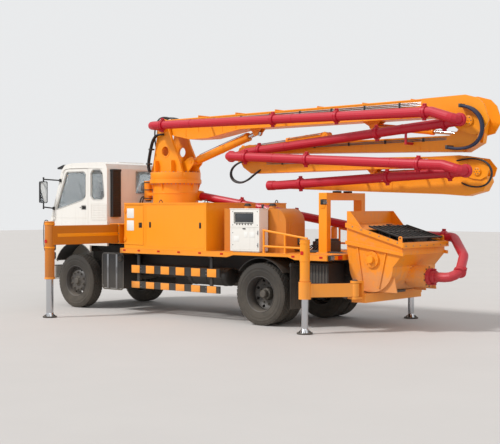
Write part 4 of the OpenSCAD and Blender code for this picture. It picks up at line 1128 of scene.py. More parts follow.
    def hub(self, profile: Sequence[Flat], cap_face: float, cap_circle: float) -> Piece:
        """Turned hub with a ring of cap bolts.

        Args:
            profile: Radius and distance along the axle.
            cap_face: Where the cap bolts stand.
            cap_circle: Their circle's radius.

        Returns:
            Hub and bolts joined.
        """
        body = Bench.lathe((0, 0, 0), (0, 1, 0), profile, 40)
        ring = [Bench.facing((math.sin(a) * cap_circle, cap_face, math.cos(a) * cap_circle), (0, 1, 0))
                for a in [2 * math.pi * k / 8 for k in range(8)]]
        return Bench.joined([body, Bench.stamped(Bench.bolt(0.008), ring)])

    def build(self) -> None:
        """Model both wheel kinds once and set them on the four corners."""
        front_tyre = self.tyre(self.front_w)
        front_rim = Bench.joined([self.barrel(self.front_w), self.disc(0.026, 0.068, 0.09)])
        front_hub = Bench.joined([self.studs(0.068), self.hub([(0.0, 0.118), (0.046, 0.116), (0.056, 0.108),
                                                               (0.062, 0.082), (0.088, 0.078), (0.094, 0.07),
                                                               (0.094, 0.044), (0.0, 0.044)], 0.081, 0.074)])
        y0, y1 = self.rear_outer_y, self.rear_inner_y
        rear_tyre = self.tyre(self.rear_w)
        rear_tyre = Bench.stamped(rear_tyre, [
            Matrix.Translation((0, y0, 0)), Matrix.Translation((0, y1, 0)) @ Matrix.Rotation(0.04, 4, "Y")])
        rims = Bench.stamped(self.barrel(self.rear_w), [Matrix.Translation((0, y, 0)) for y in (y0, y1)])
        outer = Bench.stamped(self.disc(-0.078, -0.112, 0.104), [Matrix.Translation((0, y0, 0))])
        inner = Bench.stamped(self.disc(0.094, 0.128, 0.104), [Matrix.Translation((0, y1, 0))])
        rear_rim = Bench.joined([rims, outer, inner])
        rear_hub = Bench.joined([self.studs(y0 - 0.112), self.hub([(0.0, 1.016), (0.052, 1.014), (0.064, 1.0),
                                                                   (0.068, 0.93), (0.092, 0.925), (0.098, 0.912),
                                                                   (0.102, 0.8), (0.044, 0.8), (0.044, 0.908),
                                                                   (0.0, 0.908)], 0.926, 0.08)])
        kinds = {"front": ((front_tyre, "tyre", Look.RUBBER), (front_rim, "rim", Look.RIM),
                           (front_hub, "hub", Look.CAST)), "rear": ((rear_tyre, "tyre", Look.RUBBER),
                                                                    (rear_rim, "rim", Look.RIM),
                                                                    (rear_hub, "hub", Look.CAST))}
        for kind, parts in kinds.items():
            x = self.wheelbase if kind == "front" else 0.0
            y = self.front_y if kind == "front" else 0.0
            for side, sign in (("left", 1), ("right", -1)):
                place = Matrix.Translation(at(x, sign * y, self.tyre_r))
                if sign < 0:
                    place = place @ Matrix.Rotation(math.pi, 4, "Z")
                fitter = Fitter(f"{kind}_wheel_{side}")
                for part, word, look in parts:
                    stands = (f"wheel_{kind}_{side}",) if word == "tyre" else ()
                    slot = "tyre_rubber" if word == "tyre" else "black_paint"
                    fitter.fit(Bench.copied(part, place), f"{kind}_{side}_{word}", look, slot, stands_for=stands)
        for parts in kinds.values():
            for part, _, _ in parts:
                bpy.data.objects.remove(part)


# ---------------------------------------------------------------- planes and outlines
def side_plane(y: float, sign: int = 1) -> Matrix:
    """Plane of truck X and Z at a distance to the side, its depth pointing outwards.

    Args:
        y: Distance from the middle.
        sign: 1 for the left side, -1 for the right.

    Returns:
        Placement from (x, z, depth) to the row frame.
    """
    shift = at(0.0, sign * y, 0.0)
    return Matrix(((1, 0, 0, shift[0]), (0, 0, sign, shift[1]), (0, 1, 0, shift[2]), (0, 0, 0, 1)))


def end_plane(x: float, sign: int = 1) -> Matrix:
    """Plane of Y and Z at a station, its depth pointing forwards or, with sign -1, to the rear."""
    shift = at(x, 0.0, 0.0)
    return Matrix(((0, 0, sign, shift[0]), (1, 0, 0, 0), (0, 1, 0, 0), (0, 0, 0, 1)))


def top_plane(z: float) -> Matrix:
    """Plane of truck X and Y at a height, its depth pointing up."""
    return Matrix.Translation(at(0.0, 0.0, z))


def slant_plane(foot: Point, up: Point) -> Matrix:
    """Plane of Y and a slanted direction, its depth pointing away to the front.

    Args:
        foot: Where the plane's second axis starts, in truck metres.
        up: Direction of that axis.

    Returns:
        Placement from (y, distance up, depth) to the row frame.
    """
    rise = Vector(up).normalized()
    out = Vector((0, 1, 0)).cross(rise)
    foot = at(*foot)
    return Matrix(((0, rise.x, out.x, foot[0]), (1, rise.y, out.y, foot[1]), (0, rise.z, out.z, foot[2]),
                   (0, 0, 0, 1)))


def turn(degrees: float, axis: str) -> Matrix:
    """Placement that turns about an axis."""
    return Matrix.Rotation(math.radians(degrees), 4, axis)


def oblong(low: Flat, high: Flat) -> list[Flat]:
    """The four corners of a rectangle."""
    return [(low[0], low[1]), (high[0], low[1]), (high[0], high[1]), (low[0], high[1])]


def rounded(corners: Sequence[Flat], radius: float, steps: int = 5) -> list[Flat]:
    """An outline with its corners rounded.

    Args:
        corners: The sharp outline.
        radius: Length taken off each edge at a corner.
        steps: Short edges in each rounded corner.

    Returns:
        The rounded outline.
    """
    made = []
    for k, corner in enumerate(corners):
        b = Vector(corner)
        u, v = Vector(corners[k - 1]) - b, Vector(corners[(k + 1) % len(corners)]) - b
        reach = min(radius, 0.45 * u.length, 0.45 * v.length)
        for step in range(steps + 1):
            t = step / steps
            p = b + u.normalized() * reach * (1 - t) ** 2 + v.normalized() * reach * t ** 2
            made.append((p.x, p.y))
    return made


def grown(outline: Sequence[Flat], distance: float) -> list[Flat]:
    """An outline moved outwards, or inwards with a negative distance.

    Args:
        outline: The outline.
        distance: How far it moves.

    Returns:
        The moved outline.
    """
    n = len(outline)
    area = sum(outline[k - 1][0] * outline[k][1] - outline[k][0] * outline[k - 1][1] for k in range(n))
    way = math.copysign(distance, area)
    made = []
    for k, (x, y) in enumerate(outline):
        run = (Vector(outline[(k + 1) % n]) - Vector(outline[k - 1])).normalized()
        made.append((x + run.y * way, y - run.x * way))
    return made


def arc(centre: Flat, radius: float, start: float, stop: float, steps: int) -> list[Flat]:
    """Points along an arc, its angles in degrees."""
    turns = [math.radians(start + (stop - start) * k / steps) for k in range(steps + 1)]
    return [(centre[0] + radius * math.cos(a), centre[1] + radius * math.sin(a)) for a in turns]


class Shop(Bench):
    """Pieces drawn on planes of the truck."""

    @staticmethod
    def slab(low: Point, high: Point, bevel: float = 0.003) -> Piece:
        """A box between two corners in truck metres."""
        return Bench.block(at(*low), at(*high), bevel)

    @staticmethod
    def panel(outline: Sequence[Flat], place: Matrix, depth: float, bevel: float = 0.002) -> Piece:
        """A flat outline on a plane pushed out by its depth."""
        return Bench.plate([place @ Vector(
            (x, y, 0)) for x, y in outline], place.to_3x3() @ Vector((0, 0, depth)), bevel)

    @staticmethod
    def tile(low: Flat, high: Flat, place: Matrix, depth: float, bevel: float = 0.002, corner: float = 0.0,
             steps: int = 5) -> bpy.types.Object:
        """A rectangle on a plane pushed out by its depth.

        Args:
            low: Its lower corner.
            high: Its upper corner.
            place: Plane it lies on.
            depth: Thickness.
            bevel: Width of its eased edges.
            corner: Size of its rounded corners, 0 for sharp ones.
            steps: Short edges in each rounded corner.

        Returns:
            The piece.
        """
        outline = oblong(low, high)
        return Shop.panel(rounded(outline, corner, steps) if corner else outline, place, depth, bevel)

    @staticmethod
    def border(ring: Sequence[Flat], inward: float, outward: float, place: Matrix, depth: float,
               bevel: float = 0.001) -> bpy.types.Object:
        """A frame that follows an outline, so far inside it and so far outside."""
        return Shop.band(grown(ring, -inward), grown(ring, outward), place, depth, bevel)

    @staticmethod
    def bar(a: Point, b: Point, radius: float, sides: int = 24, bevel: float = 0.0) -> bpy.types.Object:
        """A round bar between two places in truck metres."""
        return Bench.rod(at(*a), at(*b), radius, sides, bevel)

    @staticmethod
    def upright(x: float, y: float, z: float, profile: Sequence[Flat], steps: int = 48) -> bpy.types.Object:
        """A profile turned about an upright axis through a place in truck metres."""
        return Bench.lathe(at(x, y, z), (0, 0, 1), profile, steps)

    @staticmethod
    def band(inner: Sequence[Flat], outer: Sequence[Flat], place: Matrix, depth: float,
             bevel: float = 0.001) -> Piece:
        """A frame between two outlines of the same number of points, pushed out by its depth.

        Args:
            inner: Outline of the opening.
            outer: Outline of the frame.
            place: Plane it lies on.
            depth: Thickness.
            bevel: Width of its eased edges.

        Returns:
            The frame.
        """
        rings = [Bench.outline([place @ Vector((x, y, 0)) for x, y in ring], False) for ring in (inner, outer)]
        piece = Bench.joined(rings)
        Bench.edit()
        bpy.ops.mesh.bridge_edge_loops()
        bpy.ops.mesh.select_all(action="SELECT")
        bpy.ops.mesh.extrude_region_move(
            TRANSFORM_OT_translate={"value": tuple(place.to_3x3() @ Vector((0, 0, depth)))})
        Bench.close()
        return Bench.eased(piece, bevel, 1)

    @staticmethod
    def gasket(outline: Sequence[Flat], place: Matrix, radius: float, width: Flat = (0.01, 0.014),
               depth: float = 0.006) -> Piece:
        """Rubber round a window: so far over the glass and so far over the panel."""
        ring = rounded(outline, radius)
        return Shop.border(ring, width[0], width[1], place, depth, 0.0015)

    @staticmethod
    def turned(profile: Sequence[Flat], place: Matrix, steps: int = 28) -> Piece:
        """A profile of radius and height turned about a plane's origin and depth."""
        piece = Bench.lathe((0, 0, 0), (0, 0, 1), profile, steps)
        return Bench.stamped(piece, [place])

    @staticmethod
    def spot(place: Matrix, x: float, y: float, depth: float = 0.0) -> Matrix:
        """The same plane with its origin moved along its own axes."""
        return place @ Matrix.Translation((x, y, depth))

    @staticmethod
    def bolts(places: Iterable[Matrix], radius: float = 0.009) -> Piece:
        """A bolt standing on each place."""
        return Bench.stamped(Bench.bolt(radius), places)

    @staticmethod
    def bolt_ring(place: Matrix, circle: float, count: int, radius: float = 0.009, start: float = 0.0) -> Piece:
        """Bolts on a circle about a plane's origin."""
        turns = [2 * math.pi * (k + start) / count for k in range(count)]
        return Shop.bolts([Shop.spot(place, circle * math.cos(a), circle * math.sin(a)) for a in turns], radius)

    @staticmethod
    def both(piece: Piece) -> Piece:
        """The piece with its mirror image across the middle."""
        return Bench.stamped(piece, (Matrix.Identity(4), MIRROR))

    @staticmethod
    def hose(points: Sequence[Point], radius: float, rings: int = 6) -> Piece:
        """A hose or pipe through points in truck metres."""
        return Bench.tube([at(*p) for p in points], radius, rings=rings)


# ---------------------------------------------------------------- cab
@dataclass
class Cab:
    """Window rubbers, lamps, mirrors, wipers, arch lips and steps of the cab."""

    half: float = 0.98
    door_window: tuple[Flat, ...] = ((5.268, 1.88), (4.5, 2.06), (4.41, 2.12), (4.4, 2.54), (4.45, 2.59),
                                     (4.95, 2.59))
    quarter: tuple[Flat, ...] = ((3.88, 2.13), (3.94, 2.07), (4.18, 2.07), (4.24, 2.13), (4.24, 2.56), (4.18, 2.62),
                                 (3.99, 2.62), (3.93, 2.56))
    screen_foot: Point = (5.405, 0.0, 1.77)
    screen_up: Point = (-0.31, 0.0, 0.87)
    screen_span: tuple[Flat, Flat] = ((-0.88, 0.05), (0.88, 0.8836))
    arch_centre: Flat = (4.7, 0.64)
    arch_r: float = 0.6
    lamp_y: tuple[float, ...] = (0.7, 0.84)
    tow_y: float = 0.3

    def build(self) -> None:
        """Fit everything that rides on the cab, its doors and the bumper."""
        self._doors()
        self._windows()
        self._front()
        self._sides()
        self._roof()
        self._inside()

    def _doors(self) -> None:
        """Window rubber, handle, lock and sill strip of each door."""
        for word, sign in SIDES:
            fitter = Fitter(f"cab_door_{word}")
            face = side_plane(self.half, sign)
            fitter.fit(Shop.gasket(self.door_window, Shop.spot(face, 0, 0, -0.0005), 0.05), f"door_rubber_{word}",
                       Look.PLASTIC)
            grip = Shop.tile((4.398, 1.925), (4.502, 1.944), Shop.spot(face, 0, 0, -0.003), 0.016, 0.004, 0.008)
            dish = Shop.border(rounded(oblong((4.39, 1.88), (4.51, 1.95)), 0.012), 0.004, 0.008, face, 0.003)
            back = Shop.tile((4.391, 1.881), (4.509, 1.925), Shop.spot(face, 0, 0, -0.0175), 0.003, 0.0)
            lock = Shop.turned([(0, 0), (0.013, 0), (0.012, 0.003), (0, 0.004)], Shop.spot(face, 4.55, 1.915))
            fitter.fit([grip, dish, back, lock], f"door_handle_{word}", Look.PLASTIC, "trim_plastic")
            crease = Shop.panel([(4.36, 1.724), (5.3, 1.724), (5.3, 1.716), (4.36, 1.716)], face, 0.004, 0.0018)
            fitter.fit(crease, f"door_crease_{word}", Look.WHITE)
            card = Shop.panel(rounded([(4.42, 1.42), (5.24, 1.42), (5.24, 1.8), (4.42, 1.98)], 0.04),
                              side_plane(self.half - 0.041, sign), -0.012, 0.004)
            rest = Shop.slab((4.55, sign * 0.895, 1.6), (4.95, sign * 0.928, 1.65), 0.01)
            fitter.fit([card, rest], f"door_card_{word}", Look.SEAT)

    def _windows(self) -> None:
        """Rubbers of the windscreen, rear and quarter windows and the two wipers."""
        fitter = Fitter("cab")
        screen = slant_plane(self.screen_foot, self.screen_up)
        fitter.fit(Shop.gasket(oblong(*self.screen_span), screen, 0.03, (0.014, 0.018), 0.008), "windscreen_rubber",
                   Look.PLASTIC)
        fitter.fit(Shop.gasket(oblong((-0.24, 2.19), (0.24, 2.6)), end_plane(3.79, -1), 0.02), "rear_window_rubber",
                   Look.PLASTIC)
        fitter.fit(Shop.gasket(self.quarter, side_plane(self.half), 0.03), "quarter_window_rubbers", Look.PLASTIC,
                   both=True)
        parts = []
        for pivot in (-0.62, 0.08):
            base = screen @ Vector((pivot, 0.012, 0.0))
            knee = screen @ Vector((pivot + 0.12, 0.22, 0.03))
            tip = screen @ Vector((pivot + 0.26, 0.47, 0.016))
            parts.append(Shop.turned(
                [(0, 0), (0.022, 0), (0.018, 0.026), (0, 0.028)], Shop.spot(screen, pivot, 0.012)))
            parts.append(Bench.rod(base + (knee - base) * 0.03, knee, 0.007, 8))
            parts.append(Bench.rod(knee, tip, 0.0045, 8))
            for lift, radius in ((0.016, 0.005), (0.01, 0.003)):
                low, high = ((pivot + 0.1, 0.225, lift), (pivot + 0.42, 0.715, lift))
                parts.append(Bench.rod(screen @ Vector(low), screen @ Vector(high), radius, 8))
        fitter.fit(parts, "wipers", Look.PLASTIC)

    def _front(self) -> None:
        """Grille slats, lamps, indicators and the blank number plate."""
        fitter = Fitter("cab")
        slats = [Shop.slab((5.528, -0.86, z), (5.556 - 0.06 * (z - 1.35), 0.86, z + 0.016), 0.005)
                 for z in (1.355, 1.392, 1.429, 1.466, 1.503)]
        posts = [Shop.slab((5.53, y - 0.008, 1.35), (5.548, y + 0.008, 1.52), 0.003) for y in (-0.43, 0.0, 0.43)]
        fitter.fit(slats + posts, "grille_slats", Look.PLASTIC, "trim_plastic")
        seam = [Shop.tile((-0.9, z), (0.9, z + 0.006), end_plane(x, 1), 0.003, 0.001)
                for z, x in ((1.215, 5.5165), (1.6, 5.478))]
        fitter.fit(seam, "front_creases", Look.WHITE)
        amber = Shop.tile((0.425, 0.975), (0.695, 1.085), end_plane(5.5345), 0.01, 0.004, 0.012)
        ribs = [Shop.slab((5.544, y, 0.982), (5.547, y + 0.006, 1.078), 0.001)
                for y in [0.45 + 0.03 * k for k in range(8)]]
        fitter.fit([amber] + ribs, "front_indicators", Look.AMBER_LENS, both=True)
        bumper = Fitter("chassis")
        lamps, rings = [], []
        for y in self.lamp_y:
            place = Shop.spot(end_plane(5.526), y, 0.64)
            lamps.append(Shop.turned(
                [(0, 0), (0.0575, 0), (0.0575, 0.01), (0.05, 0.019), (0.03, 0.0255), (0, 0.028)], place, 40))
            rings.append(Shop.turned([(0.0565, 0.018), (0.0615, 0.018), (0.0645, 0.0245), (0.066, 0.0265),
                                      (0.06, 0.029), (0.0565, 0.022)], place, 40))
        bumper.fit(lamps, "headlamp_lenses", Look.CLEAR_LENS, both=True)
        bumper.fit(rings, "headlamp_rims", Look.STEEL, both=True)
        plate = Shop.tile((-0.22, 0.575), (0.22, 0.695), end_plane(5.54), 0.0035, 0.001, 0.012)
        bumper.fit(plate, "front_number_plate_blank", Look.PLATE)
        step = [Shop.slab((5.43, 0.62, 0.777), (5.53, 0.94, 0.782), 0.001)]
        step += [Shop.slab((5.435 + 0.018 * k, 0.63, 0.782), (5.44 + 0.018 * k, 0.93, 0.785), 0.001)
                 for k in range(5)]
        bumper.fit(step, "bumper_treads", Look.STEEL, both=True)
        loop = ((5.545, -0.035), (5.575, -0.03), (5.59, 0.0), (5.575, 0.03), (5.545, 0.035))
        bumper.fit(Shop.hose([(x, self.tow_y + dy, 0.52) for x, dy in loop], 0.008), "tow_eyes", Look.CAST,
                   both=True)

    def _sides(self) -> None:
        """Arch lips and liners, steps, gutters, mirror glasses and side lamps."""
        fitter = Fitter("cab")
        lip = [at(x, self.half + 0.004, z) for x, z in arc(self.arch_centre, self.arch_r + 0.004, 24.5, 133.5, 26)]
        fitter.fit(Bench.tube(lip, 0.012, rings=2), "arch_lips", Look.PLASTIC, both=True)
        inner = arc(self.arch_centre, self.arch_r - 0.009, 26, 131, 26)
        outer = arc(self.arch_centre, self.arch_r - 0.002, 131, 26, 26)
        fitter.fit(Shop.panel(inner + outer, side_plane(0.66), 0.315, 0.0), "arch_liners", Look.PLASTIC, both=True)
        face = side_plane(self.half)
        steps = []
        for z, reach in ((0.925, 0.03), (1.095, 0.022)):
            steps.append(Shop.border(rounded(oblong((5.29, z), (5.45, z + 0.11)), 0.02), 0, 0.012, face, 0.006))
            steps.append(Shop.tile((5.29, z), (5.45, z + 0.11), face, 0.0015, 0.0))
            steps.append(Shop.slab((5.295, self.half, z + 0.002), (5.445, self.half + reach, z + 0.014)))
            steps += [Shop.slab((5.303 + 0.022 * k, self.half + 0.002, z + 0.013),
                                (5.311 + 0.022 * k, self.half + reach - 0.004, z + 0.018), 0.001) for k in range(7)]
        fitter.fit(steps, "cab_steps", Look.PLASTIC, both=True)
        gutter = [at(x, self.half + 0.004, z) for x, z in ((3.93, 2.645), (4.2, 2.668), (4.5, 2.673), (4.98, 2.673),
                                                           (5.035, 2.64), (5.068, 2.585))]
        fitter.fit(Bench.tube(gutter, 0.007), "rain_gutters", Look.WHITE, both=True)
        glass = Shop.tile((1.083, 2.018), (1.232, 2.412), end_plane(5.425, -1), 0.002, 0.0008, 0.025)
        fitter.fit(glass, "mirror_glasses", Look.MIRROR, smooth=10, both=True)
        rim = rounded(oblong((1.075, 2.01), (1.24, 2.42)), 0.03)
        shell = [Shop.border(rim, 0.008, 0.004, end_plane(5.429, -1), 0.012, 0.003),
                 Shop.panel(grown(rim, 0.002), end_plane(5.43), 0.046, 0.014),
                 Shop.slab((5.438, 1.132, 1.885), (5.462, 1.158, 1.915)),
                 Shop.slab((5.438, 1.132, 2.475), (5.462, 1.158, 2.505))]
        fitter.fit(shell, "mirror_shells", Look.PLASTIC, "trim_plastic", both=True)
        lamp = Shop.tile((5.385, 1.395), (5.455, 1.435), face, 0.014, 0.005, 0.014)
        fitter.fit(lamp, "side_indicators", Look.AMBER_LENS, both=True)
        vents = [Shop.slab((3.83, self.half, 1.7 + 0.032 * k), (4.22, self.half + 0.005, 1.712 + 0.032 * k), 0.002)
                 for k in range(9)]
        rim = rounded(oblong((3.815, 1.685), (4.235, 1.985)), 0.02)
        vents.append(Shop.border(rim, 0, 0.01, face, 0.005))
        fitter.fit(vents, "side_louvres", Look.WHITE, both=True)
        seam = Shop.tile((3.8, 1.545), (4.318, 1.553), face, 0.003, 0.001)
        fitter.fit(seam, "side_creases", Look.WHITE, both=True)

    def _roof(self) -> None:
        """Hatch, marker lamps, visor brackets and the ribs of the air duct."""
        fitter = Fitter("cab")
        hatch = Shop.tile((4.16, -0.34), (4.7, 0.34), top_plane(2.764), 0.03, 0.01, 0.06)
        rim = rounded(oblong((4.13, -0.37), (4.73, 0.37)), 0.07)
        fitter.fit([hatch, Shop.border(rim, 0.02, 0, top_plane(2.764), 0.01)], "roof_hatch", Look.WHITE)
        ribs = [Shop.tile((3.98, y), (4.78, y + 0.03), top_plane(2.764), 0.007, 0.003)
                for y in (-0.8, -0.62, 0.59, 0.77)]
        fitter.fit(ribs, "roof_ribs", Look.WHITE)
        lens = [Shop.slab((4.8, y - 0.045, 2.759), (4.86, y + 0.045, 2.786), 0.009) for y in (-0.62, 0, 0.62)]
        fitter.fit(lens, "roof_markers", Look.AMBER_LENS)
        cowl = [Shop.slab((3.711, 0.715, z), (3.719, 0.885, z + 0.012), 0.002)
                for z in [1.8 + 0.045 * k for k in range(17)]]
        cowl.append(Shop.slab((3.706, 0.69, 2.585), (3.795, 0.91, 2.632), 0.012))
        fitter.fit(cowl, "air_duct_cowl", Look.PLASTIC)
        clips = [Shop.slab((5.065, y, 2.71), (5.1, y + 0.03, 2.752), 0.006) for y in (-0.7, -0.25, 0.22, 0.67)]
        fitter.fit(clips, "visor_clips", Look.CAST)

    def _inside(self) -> None:
        """Seat cushions, head rests, dash panel and levers seen through the glass."""
        fitter = Fitter("cab")
        pads = []
        for y in (-0.48, 0.48):
            pads.append(Shop.panel(rounded([(4.352, 1.535), (4.765, 1.562), (4.775, 1.59), (4.355, 1.565)], 0.012),
                                   side_plane(y - 0.2), 0.4, 0.012))
            pads.append(Shop.panel(rounded([(4.325, 1.56), (4.35, 1.58), (4.322, 2.02), (4.3, 2.04)], 0.01),
                                   side_plane(y - 0.19), 0.38, 0.012))
            pads.append(Shop.slab((4.205, y - 0.14, 2.232), (4.285, y + 0.14, 2.4), 0.03))
        fitter.fit(pads, "seat_cushions", Look.SEAT)
        dash = [Shop.slab((5.128, 0.3, 1.66), (5.165, 0.66, 1.765), 0.01)]
        dash += [Shop.bar((5.125, y, 1.715), (5.14, y, 1.715), 0.035, 24, 0.002) for y in (0.4, 0.48, 0.56)]
        dash.append(Shop.bar((4.95, 0.12, 1.3), (4.9, 0.1, 1.66), 0.011, 10))
        dash.append(Shop.bar((4.9, 0.1, 1.655), (4.898, 0.099, 1.7), 0.024, 16, 0.008))
        fitter.fit(dash, "dash_and_lever", Look.PLASTIC)


# ---------------------------------------------------------------- chassis and deck
@dataclass
class Chassis:
    """Lamps, guard squares, flaps, tank straps, brake gear and deck fittings."""

    deck_half: float = 1.08
    guard_face: float = 1.07
    reflector_x: tuple[float, ...] = (-1.27, -0.72, 0.8, 1.3, 1.8, 2.3, 2.8, 3.18)
    square_x: float = 0.96
    square_step: float = 0.372
    squares: int = 6

    def build(self) -> None:
        """Fit everything that rides on the chassis below the deck and on it."""
        self.fitter = Fitter("chassis")
        self._guards()
        self._lamps()
        self._tanks()
        self._running_gear()
        self._deck_plate()

    def _guards(self) -> None:
        """Yellow squares and bolts of the side guards, mud flaps and rear mudguards."""
        fit = self.fitter.fit
        face = side_plane(self.guard_face - 0.001)
        squares, bolts = [], []
        for k in range(self.squares):
            x = self.square_x + self.square_step * k
            for low, high in ((0.472, 0.588), (0.742, 0.878)):
                squares.append(Shop.tile((x + 0.001, low), (x + 0.209, high), face, 0.004, 0.0015, 0.006, 2))
        fit(squares, "guard_squares", Look.YELLOW, "yellow_paint", both=True)
        for x in (1.11, 2.89):
            for z in (0.5, 0.56, 0.78, 0.84):
                bolts.append(Shop.spot(side_plane(1.065), x - 0.1 if x > 2 else x + 0.085, z))
        fit(Shop.bolts(bolts, 0.008), "guard_bolts", Look.STEEL, both=True)
        flaps = [Shop.slab((-0.62, 0.56, 0.3), (-0.612, 1.06, 1.04), 0.002),
                 Shop.slab((-0.632, 0.56, 0.98), (-0.6, 1.06, 1.02), 0.003)]
        flaps += [Shop.slab((-0.625, 0.62 + 0.1 * k, 0.34), (-0.619, 0.632 + 0.1 * k, 0.92), 0.001)
                  for k in range(5)]
        fit(flaps, "mud_flaps", Look.RUBBER, both=True)
        guards = arc((0.0, 0.51), 0.585, 38, 142, 20) + arc((0.0, 0.51), 0.593, 142, 38, 20)
        fit(Shop.panel(guards, side_plane(0.56), 0.5, 0.0), "rear_mudguards", Look.PLASTIC, both=True)

    def _lamps(self) -> None:
        """Red sill reflectors and the tail lamps."""
        fit = self.fitter.fit
        face = side_plane(self.deck_half)
        lens = [Shop.tile((x, 1.128), (x + 0.062, 1.158), face, 0.006, 0.002, 0.006, 2) for x in self.reflector_x]
        fit(lens, "sill_reflectors", Look.RED_LENS, both=True)
        house = Shop.slab((-1.392, 0.72, 1.095), (-1.349, 1.05, 1.178), 0.006)
        fit(house, "tail_lamp_housings", Look.PLASTIC, both=True)
        back = end_plane(-1.391, -1)
        for word, look, low, high in (("stop", Look.RED_LENS, 0.735, 0.845), ("turn", Look.AMBER_LENS, 0.852, 0.94),
                                      ("reverse", Look.CLEAR_LENS, 0.947, 1.035)):
            fit(Shop.tile((low, 1.106), (high, 1.168), back, 0.012, 0.004, 0.008, 3), f"tail_lamps_{word}", look,
                both=True)

    def _tanks(self) -> None:
        """Fuel tank straps and cap, battery covers, air tank bands and the silencer's tail."""
        fit = self.fitter.fit
        straps = []
        for x in (3.56, 3.8):
            sides = ((0.929, 0.414, 1.056), (0.465, 0.412, 0.42), (0.465, 1.049, 1.056))
            straps += [Shop.slab((x, y, low), (x + 0.045, 0.936, high)) for y, low, high in sides]
            straps.append(Shop.bar((x + 0.022, 0.942, 0.7), (x + 0.022, 0.942, 0.82), 0.007, 10))
        fit(straps, "fuel_tank_straps", Look.STEEL, both=True)
        cap = Shop.turned([(0, 0), (0.062, 0), (0.062, 0.02), (0.054, 0.04), (0, 0.044)],
                          Shop.spot(side_plane(0.929), 3.47, 0.97) @ turn(-35, "X"))
        rims = rounded(oblong((3.42, 0.42), (3.96, 1.05)), 0.05)
        fit([cap, Shop.border(rims, 0.03, -0.004, side_plane(0.93), 0.004)], "fuel_tank_cap", Look.CAST, both=True)
        face = side_plane(0.93, -1)
        shifts = (0.0, 0.49)
        cover = [Shop.tile((1.24 + d, 0.56), (1.68 + d, 0.94), face, 0.006, 0.002, 0.03) for d in shifts]
        cover += [Shop.bar((1.4 + d, -0.952, 0.75), (1.52 + d, -0.952, 0.75), 0.007, 10) for d in shifts]
        cover += [Shop.bar((x + d, -0.93, 0.75), (x + d, -0.952, 0.75), 0.006, 8) for d in shifts
                  for x in (1.405, 1.515)]
        fit(cover, "battery_box_covers", Look.BLACK)
        bands = [Bench.lathe(at(x, 0.64, 0.72), (1, 0, 0), [
            (0.1495, 0), (0.156, 0), (0.156, 0.035), (0.1495, 0.035)], 36) for x in (1.1, 1.45, 1.8)]
        ends = [Bench.lathe(at(x, 0.64, 0.72), (s, 0, 0), [(0.0, 0.0), (0.149, 0.0), (0.13, 0.018), (0.06, 0.03),
                                                           (0.0, 0.032)], 36) for x, s in ((1.0, -1), (1.9, 1))]
        fit(bands + ends, "air_tank_bands", Look.BLACK)
        tail = Shop.hose([(-1.03, 0.64, 0.72), (-1.15, 0.62, 0.6), (-1.28, 0.6, 0.55), (-1.38, 0.6, 0.5)], 0.03)
        shield = [Shop.slab((-1.23 + 0.06 * k, 0.899, 0.73), (-1.2 + 0.06 * k, 0.905, 1.01), 0.002)
                  for k in range(7)]
        fit([tail] + shield, "silencer_tail", Look.CAST)

    def _running_gear(self) -> None:
        """U-bolts, brake chambers, shaft joints, differential cover and air lines."""
        fit = self.fitter.fit
        ubolts = []
        for x0, y, low, high in ((4.7, 0.362, 0.425, 0.66), (0.0, 0.362, 0.435, 0.72)):
            for dx in (-0.055, 0.055):
                ubolts += [Shop.bar((x0 + dx, y + dy, low), (x0 + dx, y + dy, high), 0.009, 10)
                           for dy in (-0.042, 0.042)]
            ubolts.append(Shop.slab(
                (x0 - 0.075, y - 0.058, low - 0.012), (x0 + 0.075, y + 0.058, low + 0.008), 0.003))
            ubolts.append(Shop.slab(
                (x0 - 0.075, y - 0.05, high - 0.03), (x0 + 0.075, y + 0.05, high - 0.012), 0.003))
        fit(ubolts, "spring_u_bolts", Look.CAST, both=True)
        can = [(0, 0), (0.05, 0), (0.072, 0.02), (0.072, 0.052), (0.08, 0.056), (0.08, 0.068), (0.072, 0.072),
               (0.072, 0.105), (0.05, 0.125), (0, 0.125)]
        cans = [Bench.lathe(at(x, y, z), (way, 0, 0), can, 28)
                for x, y, z, way in ((-0.1, 0.43, 0.64, -1), (0.12, 0.43, 0.64, 1))]
        fit(cans, "brake_chambers", Look.BLACK, both=True)
        joints = []
        for x, z in ((0.33, 0.513), (1.85, 0.6), (3.4, 0.688)):
            joints.append(Bench.lathe(at(x, 0, z), (1, 0, 0.057), [(0.0, -0.05), (0.062, -0.05), (0.062, -0.03),
                                                                   (0.052, -0.02), (0.052, 0.02), (0.062, 0.03),
                                                                   (0.062, 0.05), (0.0, 0.05)], 28))
            joints.append(Shop.bar((x, -0.068, z), (x, 0.068, z), 0.022, 16, 0.003))
        fit(joints, "shaft_joints", Look.CAST)
        cover = Shop.turned([(0, 0), (0.15, 0), (0.165, 0.004), (0.16, 0.014), (0.1, 0.03), (0, 0.036)],
                            Shop.spot(end_plane(-0.15, -1), 0, 0.51), 40)
        ring = Shop.bolt_ring(Shop.spot(end_plane(-0.15, -1), 0, 0.51), 0.178, 12, 0.008)
        fit([cover, ring], "differential_cover", Look.CAST)
        lines = [Shop.hose([(-1.3, y, 0.86 - 0.01 * k), (0.5, y, 0.86 - 0.01 * k), (2.5, y, 0.86 - 0.01 * k),
                            (3.3, y, 0.86 - 0.01 * k)], 0.007, 2) for k, y in enumerate((0.413, 0.43, 0.447))]
        fit(lines, "air_lines", Look.HOSE)

